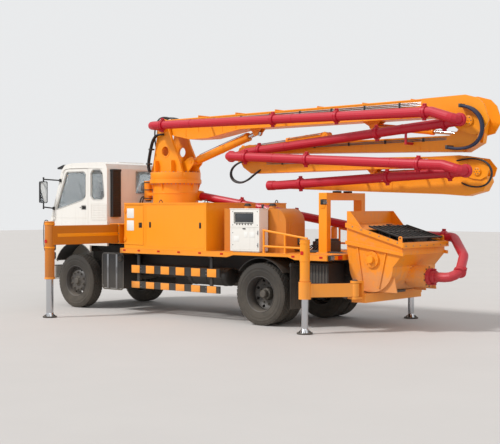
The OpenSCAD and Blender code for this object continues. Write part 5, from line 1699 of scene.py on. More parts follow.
    def _deck_plate(self) -> None:
        """Chequered tread on the rear deck, its bolts and the deck's edge strips."""
        fit = self.fitter.fit
        pitch_x, pitch_y, low, high = 0.044, 0.044, (-1.32, -1.03), (-0.37, 1.03)
        base = Shop.slab((low[0], low[1], 1.1798), (high[0], high[1], 1.1825), 0.0008)
        bar = Bench.rod((-0.0125, 0, 0), (0.0125, 0, 0), 0.0034, 4)
        pair = Bench.stamped(bar, [
            turn(45, "Z"), Matrix.Translation((pitch_x / 2, pitch_y / 2, 0)) @ turn(-45, "Z")])
        nx, ny = int((high[0] - low[0]) / pitch_x), int((high[1] - low[1]) / pitch_y)
        row = Bench.stamped(pair, [Matrix.Translation((pitch_x * k, 0, 0)) for k in range(nx)])
        start = at(low[0] + 0.015, low[1] + 0.015, 1.1828)
        rows = Bench.stamped(row, [
            Matrix.Translation((start[0], start[1] + pitch_y * k, start[2])) for k in range(ny)])
        fit([base, rows], "chequer_plate", Look.YELLOW_DECK)
        edge = [Shop.spot(top_plane(1.18), x, y) for x in (-1.335, -0.355) for y in (-0.9, -0.45, 0.0, 0.45, 0.9)]
        fit(Shop.bolts(edge, 0.007), "deck_bolts", Look.STEEL)
        strip = Shop.tile((-1.349, 1.176), (3.235, 1.183), side_plane(1.079), 0.004, 0.0015)
        fit(strip, "deck_edge_strips", Look.YELLOW, both=True)


# ---------------------------------------------------------------- cabinet, control box and tank
@dataclass
class Housings:
    """Plates, locks, seams and handles of the cabinet, the control box and the oil tank."""

    deck_half: float = 1.08
    box_face: float = 1.078
    plate_z: tuple[Flat, ...] = ((1.725, 1.9), (1.5, 1.684))

    def build(self) -> None:
        """Fit the three housings."""
        self.fitter = Fitter("chassis")
        self._cabinet()
        self._control_box()
        self._tank()

    def _cabinet(self) -> None:
        """Blank plates and lock on the locker door, panel frames, gutter, louvres and lifting eyes."""
        fit = self.fitter.fit
        door = Fitter("locker_door")
        face = side_plane(self.deck_half)
        plates = [Shop.tile((2.957, low), (3.14, high), face, 0.0025, 0.0008, 0.008, 3)
                  for low, high in self.plate_z]
        door.fit(plates, "cabinet_plates_blank", Look.PLATE)
        rivets = [Shop.turned([(0, 0), (0.004, 0), (0.003, 0.002), (0, 0.0026)], Shop.spot(face, x, z, 0.002), 10)
                  for low, high in self.plate_z for x in (2.966, 3.131) for z in (low + 0.01, high - 0.01)]
        door.fit(rivets, "cabinet_plate_rivets", Look.STEEL)
        well = oblong((2.755, 1.56), (2.825, 1.64))
        lock = [Shop.border(well, 0, 0.01, face, 0.003),
                Shop.panel(grown(well, -0.001), Shop.spot(face, 0, 0, -0.0115), 0.004, 0.0),
                Shop.tile((2.764, 1.575), (2.816, 1.612), Shop.spot(face, 0, 0, -0.008), 0.012, 0.003, 0.006),
                Shop.turned([(0, 0), (0.01, 0), (0.009, 0.004), (0, 0.005)], Shop.spot(face, 2.79, 1.627, -0.008))]
        door.fit(lock, "locker_lock", Look.PLASTIC)
        rim = rounded(oblong((2.726, 1.256), (3.174, 1.944)), 0.02, 3)
        door.fit(Shop.border(rim, 0.01, 0, face, 0.003), "locker_door_rim", Look.YELLOW)
        right, rear = side_plane(self.deck_half, -1), end_plane(1.18, -1)
        frames = []
        for place, x0, x1 in ((face, 1.22, 2.64), (right, 1.22, 1.86), (right, 1.92, 2.56), (right, 2.62, 3.17),
                              (rear, -1.03, -0.65)):
            ring = rounded(oblong((x0, 1.235), (x1, 1.955)), 0.02, 3)
            frames.append(Shop.border(ring, 0.012, 0, place, 0.003))
        ring = rounded(oblong((0.86, 1.93), (1.04, 1.97)), 0.01, 3)
        frames.append(Shop.border(ring, 0.008, 0, rear, 0.003))
        fit(frames, "cabinet_panel_frames", Look.YELLOW, "yellow_paint")
        runs = ((1.175, 1.079, 3.214, 1.088), (1.175, -1.088, 3.214, -1.079), (1.17, -1.085, 1.181, -0.6),
                (1.17, -0.2, 1.181, 1.085))
        gutter = [Shop.slab((x0, y0, 1.978), (x1, y1, 1.998), 0.003) for x0, y0, x1, y1 in runs]
        fit(gutter, "cabinet_gutter", Look.YELLOW)
        slats = [Shop.slab((x, -1.086, z), (x + 0.38, -1.078, z + 0.012), 0.003) for x in (1.35, 2.05)
                 for z in [1.35 + 0.04 * k for k in range(7)]]
        fit(slats, "cabinet_louvres", Look.YELLOW)
        grips = []
        for x, sign in ((1.32, 1), (2.54, 1), (1.8, -1), (2.5, -1)):
            place = side_plane(self.deck_half, sign)
            grips.append(Shop.tile((x - 0.022, 1.56), (x + 0.022, 1.66), place, 0.006, 0.002, 0.01, 3))
            grips.append(Shop.tile(
                (x - 0.01, 1.575), (x + 0.01, 1.645), Shop.spot(place, 0, 0, 0.005), 0.01, 0.003, 0.008, 3))
        fit(grips, "cabinet_latches", Look.PLASTIC)
        eyes = []
        for x in (1.3, 2.4):
            for y in (-0.95, 0.95):
                eyes.append(Shop.hose([(x, y - 0.035, 1.998), (x, y - 0.035, 2.035), (x, y, 2.065),
                                       (x, y + 0.035, 2.035), (x, y + 0.035, 1.998)], 0.008))
                eyes.append(Shop.slab((x - 0.03, y - 0.055, 1.999), (x + 0.03, y + 0.055, 2.005), 0.002))
        fit(eyes, "cabinet_lifting_eyes", Look.CAST)
        seams = [Shop.tile((x, -0.19), (x + 0.02, 1.075), top_plane(1.999), 0.004, 0.0015) for x in (1.75, 2.3)]
        fit(seams, "cabinet_roof_seams", Look.YELLOW)

    def _control_box(self) -> None:
        """Display window, trim, buttons, blank plates, door rim, hinges and lid."""
        fit = self.fitter.fit
        face = side_plane(self.box_face)
        fit(Shop.tile((0.15, 1.675), (0.54, 1.82), Shop.spot(face, 0, 0, -0.0195), 0.006, 0.002, 0.008, 3),
            "control_display", Look.DISPLAY)
        ring = oblong((0.14, 1.665), (0.55, 1.83))
        trim = [Shop.border(ring, 0, 0.01, face, 0.004)]
        for x in (0.05, 0.58):
            for z in (1.3, 1.5, 1.63, 1.85):
                trim.append(Shop.turned(
                    [(0, 0), (0.008, 0), (0.007, 0.003), (0, 0.004)], Shop.spot(face, x, z), 12))
        trim.append(Shop.slab((0.3, self.box_face, 1.562), (0.36, self.box_face + 0.012, 1.58), 0.004))
        fit(trim, "control_box_trim", Look.PLASTIC)
        knobs = [Shop.turned([(0, 0), (0.011, 0), (0.011, 0.008), (0.008, 0.012), (0, 0.012)],
                             Shop.spot(face, 0.18 + 0.062 * k, 1.642, 0.0), 18) for k in range(6)]
        fit(knobs, "control_buttons", Look.CAST)
        fit([Shop.tile(low, high, face, 0.002, 0.0007, 0.005, 2)
             for low, high in (((0.1, 1.43), (0.22, 1.52)), ((0.26, 1.43), (0.33, 1.52)),
                               ((0.44, 1.36), (0.56, 1.45)))], "control_plates_blank", Look.PLATE)
        lower = rounded(oblong((0.045, 1.235), (0.605, 1.57)), 0.012, 3)
        fit(Shop.border(lower, 0.006, 0, face, 0.0025), "control_door_rim", Look.WHITE)
        hinges = [Shop.bar((0.036, 1.083, z), (0.036, 1.083, z + 0.07), 0.007, 12, 0.002) for z in (1.27, 1.47)]
        fit(hinges, "control_door_hinges", Look.STEEL)
        fit(Shop.slab((0.0, 0.842, 1.886), (0.65, 1.086, 1.902), 0.006), "control_box_lid", Look.WHITE)

    def _tank(self) -> None:
        """Straps round the oil tank, filler caps, breather, sight glass and its hoses."""
        fit = self.fitter.fit
        top = 1.9
        straps = []
        for x in (0.05, 0.82):
            straps += [Shop.slab((x, y, 1.18), (x + 0.05, y + 0.009, top + 0.004)) for y in (0.315, 0.816)]
            straps.append(Shop.slab((x, 0.315, top - 0.002), (x + 0.05, 0.825, top + 0.005)))
        # The straps take the darker orange of painted shade.
        fit(straps, "oil_tank_straps", Look.AMBER_SHADE)
        caps = [Shop.turned([(0, 0), (0.062, 0), (0.062, 0.012), (0.05, 0.016), (0.05, 0.034), (0.04, 0.042),
                             (0, 0.043)], Shop.spot(top_plane(1.944), x, 0.56), 32) for x in (0.15, 0.7)]
        ribs = [Shop.spot(top_plane(1.944), x, 0.56) @ turn(30 * k, "Z") @ Matrix.Translation((0.062, 0, 0.006))
                for x in (0.15, 0.7) for k in range(12)]
        caps.append(Bench.stamped(Bench.block((-0.003, -0.005, -0.006), (0.003, 0.005, 0.006), 0.001), ribs))
        caps.append(Shop.bar((0.42, 0.5, 1.9), (0.42, 0.5, 1.97), 0.022, 18, 0.004))
        fit(caps, "oil_tank_caps", Look.CAST)
        gauge = Shop.tile((0.44, 1.3), (0.52, 1.42), end_plane(-0.34, -1), 0.004, 0.001, 0.01, 3)
        glass = Shop.tile((0.465, 1.315), (0.495, 1.405), end_plane(-0.343, -1), 0.006, 0.002, 0.012, 3)
        fit(gauge, "oil_gauge_frame", Look.CAST)
        fit(glass, "oil_gauge_glass", Look.CLEAR_LENS)
        flange = end_plane(-0.34, -1)
        cover = [Shop.turned([(0, 0), (0.11, 0), (0.11, 0.01), (0, 0.012)], Shop.spot(flange, 0.6, 1.56), 32),
                 Shop.bolt_ring(Shop.spot(flange, 0.6, 1.56, 0.01), 0.09, 8, 0.007)]
        # The cover takes the darker orange of painted shade.
        fit(cover, "oil_tank_cover", Look.AMBER_SHADE)
        pipes = [Shop.hose([(-0.3, y, 1.24), (-0.42, y, 1.23), (-0.48, y, 1.205), (-0.55, y - 0.05, 1.2),
                            (-1.05, y - 0.1, 1.2), (-1.4, y - 0.12, 1.15), (-1.46, y - 0.12, 1.02)], 0.019)
                 for y in (0.42, 0.5, 0.58)]
        fit(pipes, "suction_hoses", Look.HOSE)


# ---------------------------------------------------------------- pedestal, turret and boom
@dataclass(frozen=True)
class Run:
    """One straight pipe run beside a section with the stations of its clamps and swivel collars."""

    body: str
    start: Point
    end: Point
    clamps: tuple[float, ...]
    collars: tuple[tuple[float, float, float, float], ...]


@dataclass(frozen=True)
class Section:
    """Sizes of one boom section's side fittings."""

    body: str
    half: float
    top: tuple[Flat, ...]
    bottom: tuple[Flat, ...]
    ribs: tuple[tuple[float, float, float], ...]
    bosses: tuple[tuple[float, float, float, float], ...]


@dataclass
class Boom:
    """Edge strips, ribs, pin caps, lines, clamps and hoses of the boom, and the slewing ring's bolts."""

    pipe_r: float = 0.075
    clamp_w: float = 0.07
    slew_x: float = 2.97
    motor_x: float = 3.57
    motor_y: float = 0.13
    lug_rise: float = 0.016
    runs: tuple[Run, ...] = (
        Run("section_1", (3.05, 0.6, 3.42), (-2.9, 0.6, 3.33), (0.3, 2.9, 4.2, 5.8),
            ((3.05, 3.42, 0.285, 1), (-3.3, 3.2, 0.472, 1))),
        Run("section_2", (-3.3, 0.34, 3.2), (0.9, 0.34, 2.87), (0.3, 1.5, 3.9),
            ((-3.3, 3.2, 0.468, -1), (1.15, 2.8, 0.468, -1))),
        Run("section_3", (1.15, 0.6, 2.8), (-3.1, 0.6, 2.54), (0.4, 1.7, 3.8),
            ((1.15, 2.8, 0.472, 1), (-3.4, 2.45, 0.472, 1))),
        Run("section_4", (-3.4, 0.34, 2.45), (0.2, 0.34, 2.29), (0.3, 1.4, 3.1), ((-3.4, 2.45, 0.468, -1),)))
    sections: tuple[Section, ...] = (
        Section("section_1", 0.18, ((-2.47, 3.5765), (3.03, 3.5495)),
                ((-2.47, 3.291), (1.2, 3.291), (2.0, 3.166), (2.45, 3.166), (2.98, 3.277)),
                ((-2.0, 3.3, 3.57), (-0.65, 3.3, 3.565), (0.75, 3.3, 3.56), (1.62, 3.24, 3.555),
                 (2.52, 3.19, 3.552)), ((-3.3, 3.2, 0.225, 0.078), (3.05, 3.42, 0.2675, 0.1))),
        Section("section_2", 0.15, ((-2.9, 2.9995), (0.2, 2.991), (0.68, 2.965)), ((-2.6, 2.771), (0.68, 2.846)),
                ((-2.45, 2.785, 2.99), (-1.35, 2.81, 2.99), (-0.2, 2.835, 2.99)), ((1.15, 2.8, 0.175, 0.072),)),
        Section("section_3", 0.12, ((-2.58, 2.692), (0.7, 2.7495), (1.0, 2.861)),
                ((-2.58, 2.5305), (0.98, 2.511)),
                ((-2.1, 2.535, 2.695), (-0.95, 2.53, 2.715), (0.2, 2.52, 2.735)), ((-3.4, 2.45, 0.135, 0.06),)),
        Section("section_4", 0.095, ((-2.78, 2.4395), (0.5, 2.341)), ((-2.78, 2.121), (0.5, 2.2445)),
                ((-1.9, 2.155, 2.41), (-0.7, 2.2, 2.375)), ()))

    def build(self) -> None:
        """Fit the pedestal, turret, sections, pipes, cylinders and hoses."""
        for section in self.sections:
            self._section(section)
        for run in self.runs:
            self._pipe(run)
        self._lines()
        self._pedestal()
        self._turret()
        self._cylinders()
        self._hoses()
        self._deck_pipe()

    def _edge(self, path: Sequence[Flat], half: float, tall: float, side: int) -> list[Piece]:
        """Flat bars along a path on both side faces of a section.

        Args:
            path: Edge of the section as (x, z).
            half: Half width of the section.
            tall: Height of the bar.
            side: 1 hangs the bar below the path, -1 stands it above.

        Returns:
            The bars.
        """
        made = []
        for (x0, z0), (x1, z1) in zip(path, path[1:]):
            drop = -side * tall
            made.append(Shop.panel(
                [(x0, z0), (x1, z1), (x1, z1 + drop), (x0, z0 + drop)], side_plane(half - 0.001), 0.007, 0.002))
        return made

    def _section(self, s: Section) -> None:
        """Edge strips, ribs, pin caps, their bolts and grease nipples of one section.

        Args:
            s: The section.
        """
        fitter = Fitter(s.body)
        bars = self._edge(s.top, s.half, 0.022, 1) + self._edge(s.bottom, s.half, 0.022, -1)
        for x, low, high in s.ribs:
            bars.append(Shop.tile(
                (x, low + 0.02), (x + 0.012, high - 0.02), side_plane(s.half - 0.001), 0.006, 0.0015))
        fitter.fit(bars, f"{s.body}_edge_strips", Look.YELLOW, "yellow_paint", both=True)
        if s.bosses:
            caps, nuts = [], []
            for x, z, y, r in s.bosses:
                place = Shop.spot(side_plane(y - 0.0005), x, z)
                caps.append(Shop.turned(
                    [(0, 0), (r, 0), (r, 0.005), (r * 0.86, 0.008), (r * 0.4, 0.0085), (0, 0.0085)], place, 36))
                nuts.append(Shop.bolt_ring(Shop.spot(place, 0, 0, 0.0065), r * 0.66, 6, 0.0075))
                nuts.append(Shop.turned([(0, 0), (0.006, 0), (0.005, 0.01), (0.003, 0.014), (0, 0.014)],
                                        Shop.spot(place, 0, 0, 0.008), 10))
            fitter.fit(caps, f"{s.body}_pin_caps", Look.YELLOW, both=True)
            fitter.fit(nuts, f"{s.body}_cap_bolts", Look.STEEL, both=True)

    def _ears(self, start: Point, end: Point, distance: float, radius: float) -> list[Piece]:
        """The two bolted lugs of a clamp on a pipe.

        Args:
            start: Start of the pipe run in truck metres.
            end: Its end.
            distance: Where the clamp starts along it.
            radius: Radius of the clamp.

        Returns:
            Lugs, bolts and the two raised rings of the clamp.
        """
        a, b = at(*start), at(*end)
        way = (b - a).normalized()
        up = way.cross(Vector((0, 1, 0))).normalized()
        up = -up if up.z < 0 else up
        side = up.cross(way).normalized()
        mid = a + way * (distance + self.clamp_w / 2)
        made = []
        for sign in (1, -1):
            place = Matrix((way, side, up * sign)).transposed().to_4x4()
            place.translation = mid + up * sign * (radius + self.lug_rise)
            for gap in (-1, 1):
                lug = Bench.block((-0.03, 0.004 if gap > 0 else -0.015, -0.022),
                                  (0.03, 0.015 if gap > 0 else -0.004, 0.018), 0.003)
                made.append(Bench.stamped(lug, [place]))
            for dx in (-0.016, 0.016):
                made.append(Bench.stamped(Bench.joined([Bench.rod((dx, -0.024, 0.004), (dx, 0.024, 0.004), 0.005,
                                                                  8), Bench.rod((dx, 0.014, 0.004),
                                                                                (dx, 0.022, 0.004), 0.009, 6,
                                                                                0.001), Bench.rod((dx, -0.022,
                                                                                                   0.004),
                                                                                                  (dx, -0.014,
                                                                                                   0.004), 0.009, 6,
                                                                                                  0.001)]),
                                          [place]))
        for share in (0.1, 0.62):
            made.append(Bench.lathe(a + way * (distance + self.clamp_w * share), way, [
                (radius - 0.001, 0), (radius + 0.005, 0.003), (radius + 0.005, 0.017), (radius - 0.001, 0.02)], 32))
        return made

    def _pipe(self, run: Run) -> None:
        """Clamp lugs and swivel collars of one run.

        Args:
            run: The run.
        """
        fitter = Fitter(run.body)
        parts = []
        for distance in run.clamps:
            parts += self._ears(run.start, run.end, distance, self.pipe_r + 0.018)
        r = self.pipe_r
        for x, z, y, way in run.collars:
            parts.append(Bench.lathe(at(x, y, z), (0, way, 0), [(r - 0.001, 0.0), (r + 0.02, 0.0),
                                                                (r + 0.024, 0.005), (r + 0.024, 0.02),
                                                                (r + 0.012, 0.032), (r - 0.001, 0.034)], 40))
            parts.append(Shop.bolt_ring(Shop.spot(
                side_plane(y + way * 0.012), x, z) @ Matrix.Diagonal((1, 1, way, 1)), r + 0.014, 3, 0.008))
        for distance in (1.05, 3.35):
            a, b = at(*run.start), at(*run.end)
            way = (b - a).normalized()
            if distance < (b - a).length - 0.3:
                parts.append(Bench.lathe(a + way * distance, way, [
                    (r - 0.001, 0), (r + 0.003, 0.002), (r + 0.003, 0.014), (r - 0.001, 0.016)], 32))
        fitter.fit(parts, f"{run.body}_pipe_clamps", Look.CRIMSON, "red_paint")

    def _lines(self) -> None:
        """Thin hydraulic lines with clamp blocks along the sections' left faces."""
        for body, y, x0, x1, z0, z1, count in (("section_1", 0.18, 2.8, -2.42, 3.5, 3.525, 3),
                                               ("section_2", 0.15, 0.62, -2.85, 2.935, 2.965, 2),
                                               ("section_3", 0.12, 0.6, -2.5, 2.69, 2.655, 2)):
            fitter = Fitter(body)
            tubes = []
            for k in range(count):
                drop = 0.024 * k
                tubes.append(Shop.hose([(x0 + 0.05, y - 0.004, z0 - drop), (x0, y + 0.014, z0 - drop),
                                        (x0 * 0.6 + x1 * 0.4, y + 0.014, z0 * 0.6 + z1 * 0.4 - drop),
                                        (x0 * 0.2 + x1 * 0.8, y + 0.014, z0 * 0.2 + z1 * 0.8 - drop),
                                        (x1, y + 0.014, z1 - drop), (x1 - 0.05, y - 0.004, z1 - drop)], 0.0075, 3))
            fitter.fit(tubes, f"{body}_hydraulic_lines", Look.STEEL)
            blocks, steps = [], max(3, int((x0 - x1) / 0.62))
            for k in range(steps):
                t = (k + 0.5) / steps
                x, z = x0 + (x1 - x0) * t, z0 + (z1 - z0) * t
                blocks.append(Shop.slab((x - 0.015, y - 0.001, z - 0.024 * (count - 1) - 0.016),
                                        (x + 0.015, y + 0.025, z + 0.016), 0.003))
            fitter.fit(blocks, f"{body}_line_clamps", Look.PLASTIC)

    def _pedestal(self) -> None:
        """Lower bolt ring, bands, sleeve collars, slewing motor fittings and hoses, foot bolts."""
        fitter = Fitter("chassis")
        ring = Shop.bolt_ring(
            Shop.spot(top_plane(2.357), self.slew_x, 0) @ Matrix.Diagonal((1, 1, -1, 1)), 0.456, 36, 0.011, 0.5)
        fitter.fit(ring, "slewing_ring_lower_bolts", Look.STEEL)
        bands = [Shop.upright(self.slew_x, 0, z, [(0.424, 0), (0.432, 0.004), (0.432, 0.022), (0.424, 0.026)], 72)
                 for z in (1.68, 2.17)]
        bands.append(Shop.upright(
            self.slew_x, 0, 2.362, [(0.479, 0.0), (0.486, 0.004), (0.486, 0.07), (0.479, 0.074)], 72))
        fitter.fit(bands, "pedestal_bands", Look.YELLOW)
        collars = []
        for x0, x1 in ((3.245, 3.487), (3.487, 3.729)):
            mouth = oblong((x0 + 0.014, 1.264), (x1 - 0.014, 1.606))
            collars.append(Shop.both(Shop.border(mouth, -0.001, 0.02, side_plane(0.959), 0.01, 0.003)))
        fitter.fit(collars, "leg_sleeve_collars", Look.YELLOW)
        bolts = [Shop.spot(side_plane(0.969), x, z) for x in (3.25, 3.487, 3.724) for z in (1.29, 1.44, 1.58)]
        fitter.fit(Shop.bolts(bolts, 0.009), "sleeve_bolts", Look.STEEL, both=True)
        motor = [Shop.upright(self.motor_x, self.motor_y, z, [
            (0.079, 0), (0.087, 0.003), (0.087, 0.017), (0.079, 0.02)], 30) for z in (2.08, 2.24, 2.38)]
        motor += [Shop.upright(self.motor_x, self.motor_y, 2.03, [(0.0, 0.0), (0.045, 0.0), (0.06, 0.03),
                                                                  (0.0, 0.03)], 24),
                  Shop.upright(self.motor_x, -self.motor_y, 2.135, [(0.0, 0.0), (0.042, 0.0), (0.055, 0.027),
                                                                    (0.0, 0.027)], 24)]
        motor += [Shop.bar((3.64, y, 2.12), (3.69, y, 2.12), 0.016, 12, 0.003) for y in (0.1, 0.16)]
        fitter.fit(motor, "slewing_motor_fittings", Look.CAST)
        hoses = [Shop.hose([(3.69, y, 2.12), (3.745, y, 2.11), (3.755, y + 0.03, 1.95), (3.745, y + 0.06, 1.75),
                            (3.735, y + 0.1, 1.64), (3.7, y + 0.12, 1.625)], 0.011) for y in (0.1, 0.16)]
        fitter.fit(hoses, "slewing_motor_hoses", Look.HOSE)
        feet = [Shop.spot(top_plane(1.25), x, y) for x in (2.5, 2.8, 3.1) for y in (-0.37, 0.37)]
        fitter.fit(Shop.bolts(feet, 0.014), "pedestal_foot_bolts", Look.STEEL)

    def _turret(self) -> None:
        """Upper bolt ring, edge strips, pin bolts, valve block and the hoses at the turret's front."""
        fitter = Fitter("slew_turret")
        fitter.fit(Shop.bolt_ring(Shop.spot(top_plane(2.5695), self.slew_x, 0), 0.445, 36, 0.011),
                   "slewing_ring_upper_bolts", Look.STEEL)
        strips = []
        edge = ((3.388, 2.585), (3.328, 2.7), (3.186, 3.39))
        back = ((2.565, 2.585), (2.645, 2.8), (2.803, 3.1), (2.915, 3.39))
        for path, side in ((edge, -1), (back, 1)):
            for (x0, z0), (x1, z1) in zip(path, path[1:]):
                strips.append(Shop.panel([(x0, z0), (x1, z1), (x1 + side * 0.022, z1), (x0 + side * 0.022, z0)],
                                         side_plane(0.239), 0.008, 0.002))
        hole = arc((3.0, 2.96), 0.091, 0, 345, 23)
        strips.append(Shop.border(hole, 0, 0.022, side_plane(0.239), 0.008))
        fitter.fit(strips, "turret_edge_strips", Look.YELLOW, "yellow_paint", both=True)
        fitter.fit(Shop.bolt_ring(Shop.spot(side_plane(0.2669), 3.05, 3.42), 0.085, 8, 0.01), "turret_pin_bolts",
                   Look.STEEL, both=True)
        block = [Shop.slab((3.235, -0.12, 2.72), (3.3, 0.12, 2.88), 0.006)]
        block += [Shop.bar((3.3, y, 2.76 + 0.08 * k), (3.335, y, 2.76 + 0.08 * k), 0.015, 12, 0.003)
                  for y in (-0.08, -0.03, 0.03, 0.08) for k in (0, 1)]
        fitter.fit(block, "turret_valve_block", Look.CAST)
        pair = [Shop.hose([(3.02, y, 3.27), (3.16, y + 0.01, 3.29), (3.27, y + 0.02, 3.2), (3.33, y + 0.02, 3.00),
                           (3.38, y + 0.02, 2.8), (3.4, y + 0.02, 2.66), (3.36, y + 0.01, 2.585)], 0.017)
                for y in (0.262, 0.3)]
        fitter.fit(pair, "turret_front_hoses", Look.HOSE)
        clips = [Shop.slab((3.29, 0.236, 2.99), (3.345, 0.345, 3.02), 0.004),
                 Shop.slab((3.35, 0.236, 2.72), (3.415, 0.345, 2.75), 0.004)]
        fitter.fit(clips, "turret_hose_clips", Look.CAST)

    def _cylinders(self) -> None:
        """Gland rings, ports and pressure lines of the four boom cylinders."""
        table = (((2.47, 2.76), (0.95, 3.225), 0.072, 1.38), ((-1.5, 3.215), (-3.18, 3.01), 0.05, 1.1),
                 ((-0.56, 3.125), (1.25, 2.975), 0.048, 0.85), ((-1.5, 2.462), (-3.31, 2.488), 0.038, 1.1))
        for k, (foot, eye, r, reach) in enumerate(table, 1):
            fitter = Fitter(f"cylinder_{k}")
            a, b = at(foot[0], 0, foot[1]), at(eye[0], 0, eye[1])
            way = (b - a).normalized()
            side = Vector((0, 1, 0))
            up = side.cross(way).normalized()
            up = -up if up.z < 0 else up
            if k != 1:
                up = side * 0.94 + up * 0.34
            up.normalize()
            rings = [Bench.lathe(a + way * d, way, [(r - 0.001, 0), (r + 0.004, 0.002), (r + 0.004, 0.016),
                                                    (r - 0.001, 0.018)], 32) for d in (r * 1.7, reach * 0.5)]
            rings.append(Bench.lathe(a + way * (reach - 0.006), way, [
                (r * 0.62, 0), (r + 0.001, 0), (r - 0.006, 0.012), (r * 0.62, 0.014)], 32))
            near, far = a + way * (r * 2.1), a + way * (reach - 0.045)
            for p in (near, far):
                rings.append(Bench.rod(p + up * (r * 0.8), p + up * (r + 0.016), 0.013, 12, 0.003))
            fitter.fit(rings, f"cylinder_{k}_rings", Look.YELLOW)
            line = Bench.tube([near + up * (r + 0.01), near + up * (r + 0.016) + way * 0.03, near
                               + up * (r + 0.016) + way * 0.12, far + up * (r + 0.016) - way * 0.12, far
                               + up * (r + 0.016) - way * 0.03, far + up * (r + 0.01)], 0.006)
            fitter.fit(line, f"cylinder_{k}_line", Look.STEEL)

    def _hoses(self) -> None:
        """Hose bundles across the boom's joints."""
        crossings = (
            ("boom_hoses_1", "slew_turret", "section_1", (3.36, 0, 3.2), (3.0, 0, 3.6), Look.HOSE, 0.014,
             (-0.1, -0.05, 0.05, 0.1),
             ((3.26, 2.9), (3.36, 2.96), (3.42, 3.15), (3.42, 3.42), (3.32, 3.6), (3.12, 3.615), (2.98, 3.575),
              (2.93, 3.552))),
            ("boom_hoses_2", "section_1", "section_2", (-3.5, 0, 3.26), (-3.42, 0, 2.84), Look.BLUE_HOSE, 0.021,
             (0.228, 0.27, 0.312),
             ((-3.2, 3.425), (-3.31, 3.41), (-3.44, 3.35), (-3.54, 3.22), (-3.565, 3.06), (-3.52, 2.92),
              (-3.42, 2.83), (-3.27, 2.785), (-3.1, 2.79), (-2.98, 2.815))),
            ("boom_hoses_3", "section_2", "section_3", (1.12, 0, 2.7), (1.02, 0, 2.4), Look.HOSE, 0.013,
             (0.186, 0.216, 0.246),
             ((0.72, 2.8), (0.86, 2.77), (1.1, 2.73), (1.32, 2.66), (1.42, 2.52), (1.34, 2.38), (1.14, 2.34),
              (0.96, 2.4), (0.84, 2.52), (0.78, 2.58))),
            ("boom_hoses_4", "section_3", "section_4", (-3.45, 0, 2.58), (-3.42, 0, 2.2), Look.HOSE, 0.012,
             (0.142, 0.168),
             ((-2.95, 2.6), (-3.12, 2.63), (-3.4, 2.66), (-3.62, 2.56), (-3.68, 2.4), (-3.6, 2.24), (-3.4, 2.2),
              (-3.2, 2.25), (-3.1, 2.3))))
        for name, a, b, start, end, look, radius, rows, route in crossings:
            tubes = []
            for k, y in enumerate(rows):
                sway = 0.012 * math.sin(2.1 * k + 0.6)
                inward = 0.4 if 0.13 < abs(y) and name != "boom_hoses_2" else 1.0
                points = []
                for j, (x, z) in enumerate(route):
                    mid = math.sin(math.pi * j / (len(route) - 1))
                    points.append((x + sway * mid, y * (inward + (1 - inward) * min(1.0, 2.2 * mid))
                                   + 0.3 * sway * mid, z + sway * mid))
                tubes.append(Shop.hose(points, radius, 8))
            piece = Bench.joined(tubes)
            Bench.pick(piece)
            bpy.ops.object.shade_smooth_by_angle(angle=HOSE_SMOOTH)
            Bench.clear()
            piece.name = piece.data.name = name
            PAINT.coat(piece, look)
            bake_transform(piece)
            LOG.info("piece %s bends between %s and %s", name, a, b)
        for k, x, y, low, high in ((1, -3.24, 0.2045, 3.395, 3.45), (2, -3.02, 0.1495, 2.785, 2.845)):
            gland = Shop.slab((x, y, low), (x + 0.04, 0.338, high), 0.005)
            Fitter(f"section_{k}").fit(gland, f"hose_gland_{k}", Look.CAST)

    def _deck_pipe(self) -> None:
        """Clamp lugs, flange bolts and saddles of the delivery pipe."""
        fitter = Fitter("chassis")
        points = ((-2.5103, 0, 0.85), (-3.02, 0, 0.85), (-2.86, -0.45, 1.17), (-2.46, -0.85, 1.44),
                  (-1.25, -0.82, 1.48), (-0.8, -0.66, 1.57), (2.6, -0.32, 2.13))
        parts = []
        for leg, distance in ((0, 0.06), (1, 0.12), (3, 0.15), (3, 0.8), (5, 0.12), (5, 1.3), (5, 2.5)):
            parts += self._ears(points[leg], points[leg + 1], distance, self.pipe_r + 0.018)
        parts.append(Shop.bolt_ring(Shop.spot(end_plane(-2.57, -1), 0, 0.85), 0.112, 8, 0.009))
        fitter.fit(parts, "delivery_pipe_clamps", Look.CRIMSON, "red_paint")
        way = (Vector(points[6]) - Vector(points[5])).normalized()
        saddles = []
        for distance in (0.55, 1.75):
            x, y, z = Vector(points[5]) + way * distance
            foot = 1.18 if x < 1.18 else 1.8
            saddles.append(Shop.slab(
                (x - 0.03, y - 0.05, foot), (x + 0.03, y + 0.05, z - self.pipe_r + 0.004), 0.004))
            saddles.append(Shop.slab((x - 0.06, y - 0.08, foot), (x + 0.06, y + 0.08, foot + 0.01), 0.003))
        fitter.fit(saddles, "delivery_pipe_saddles", Look.YELLOW)


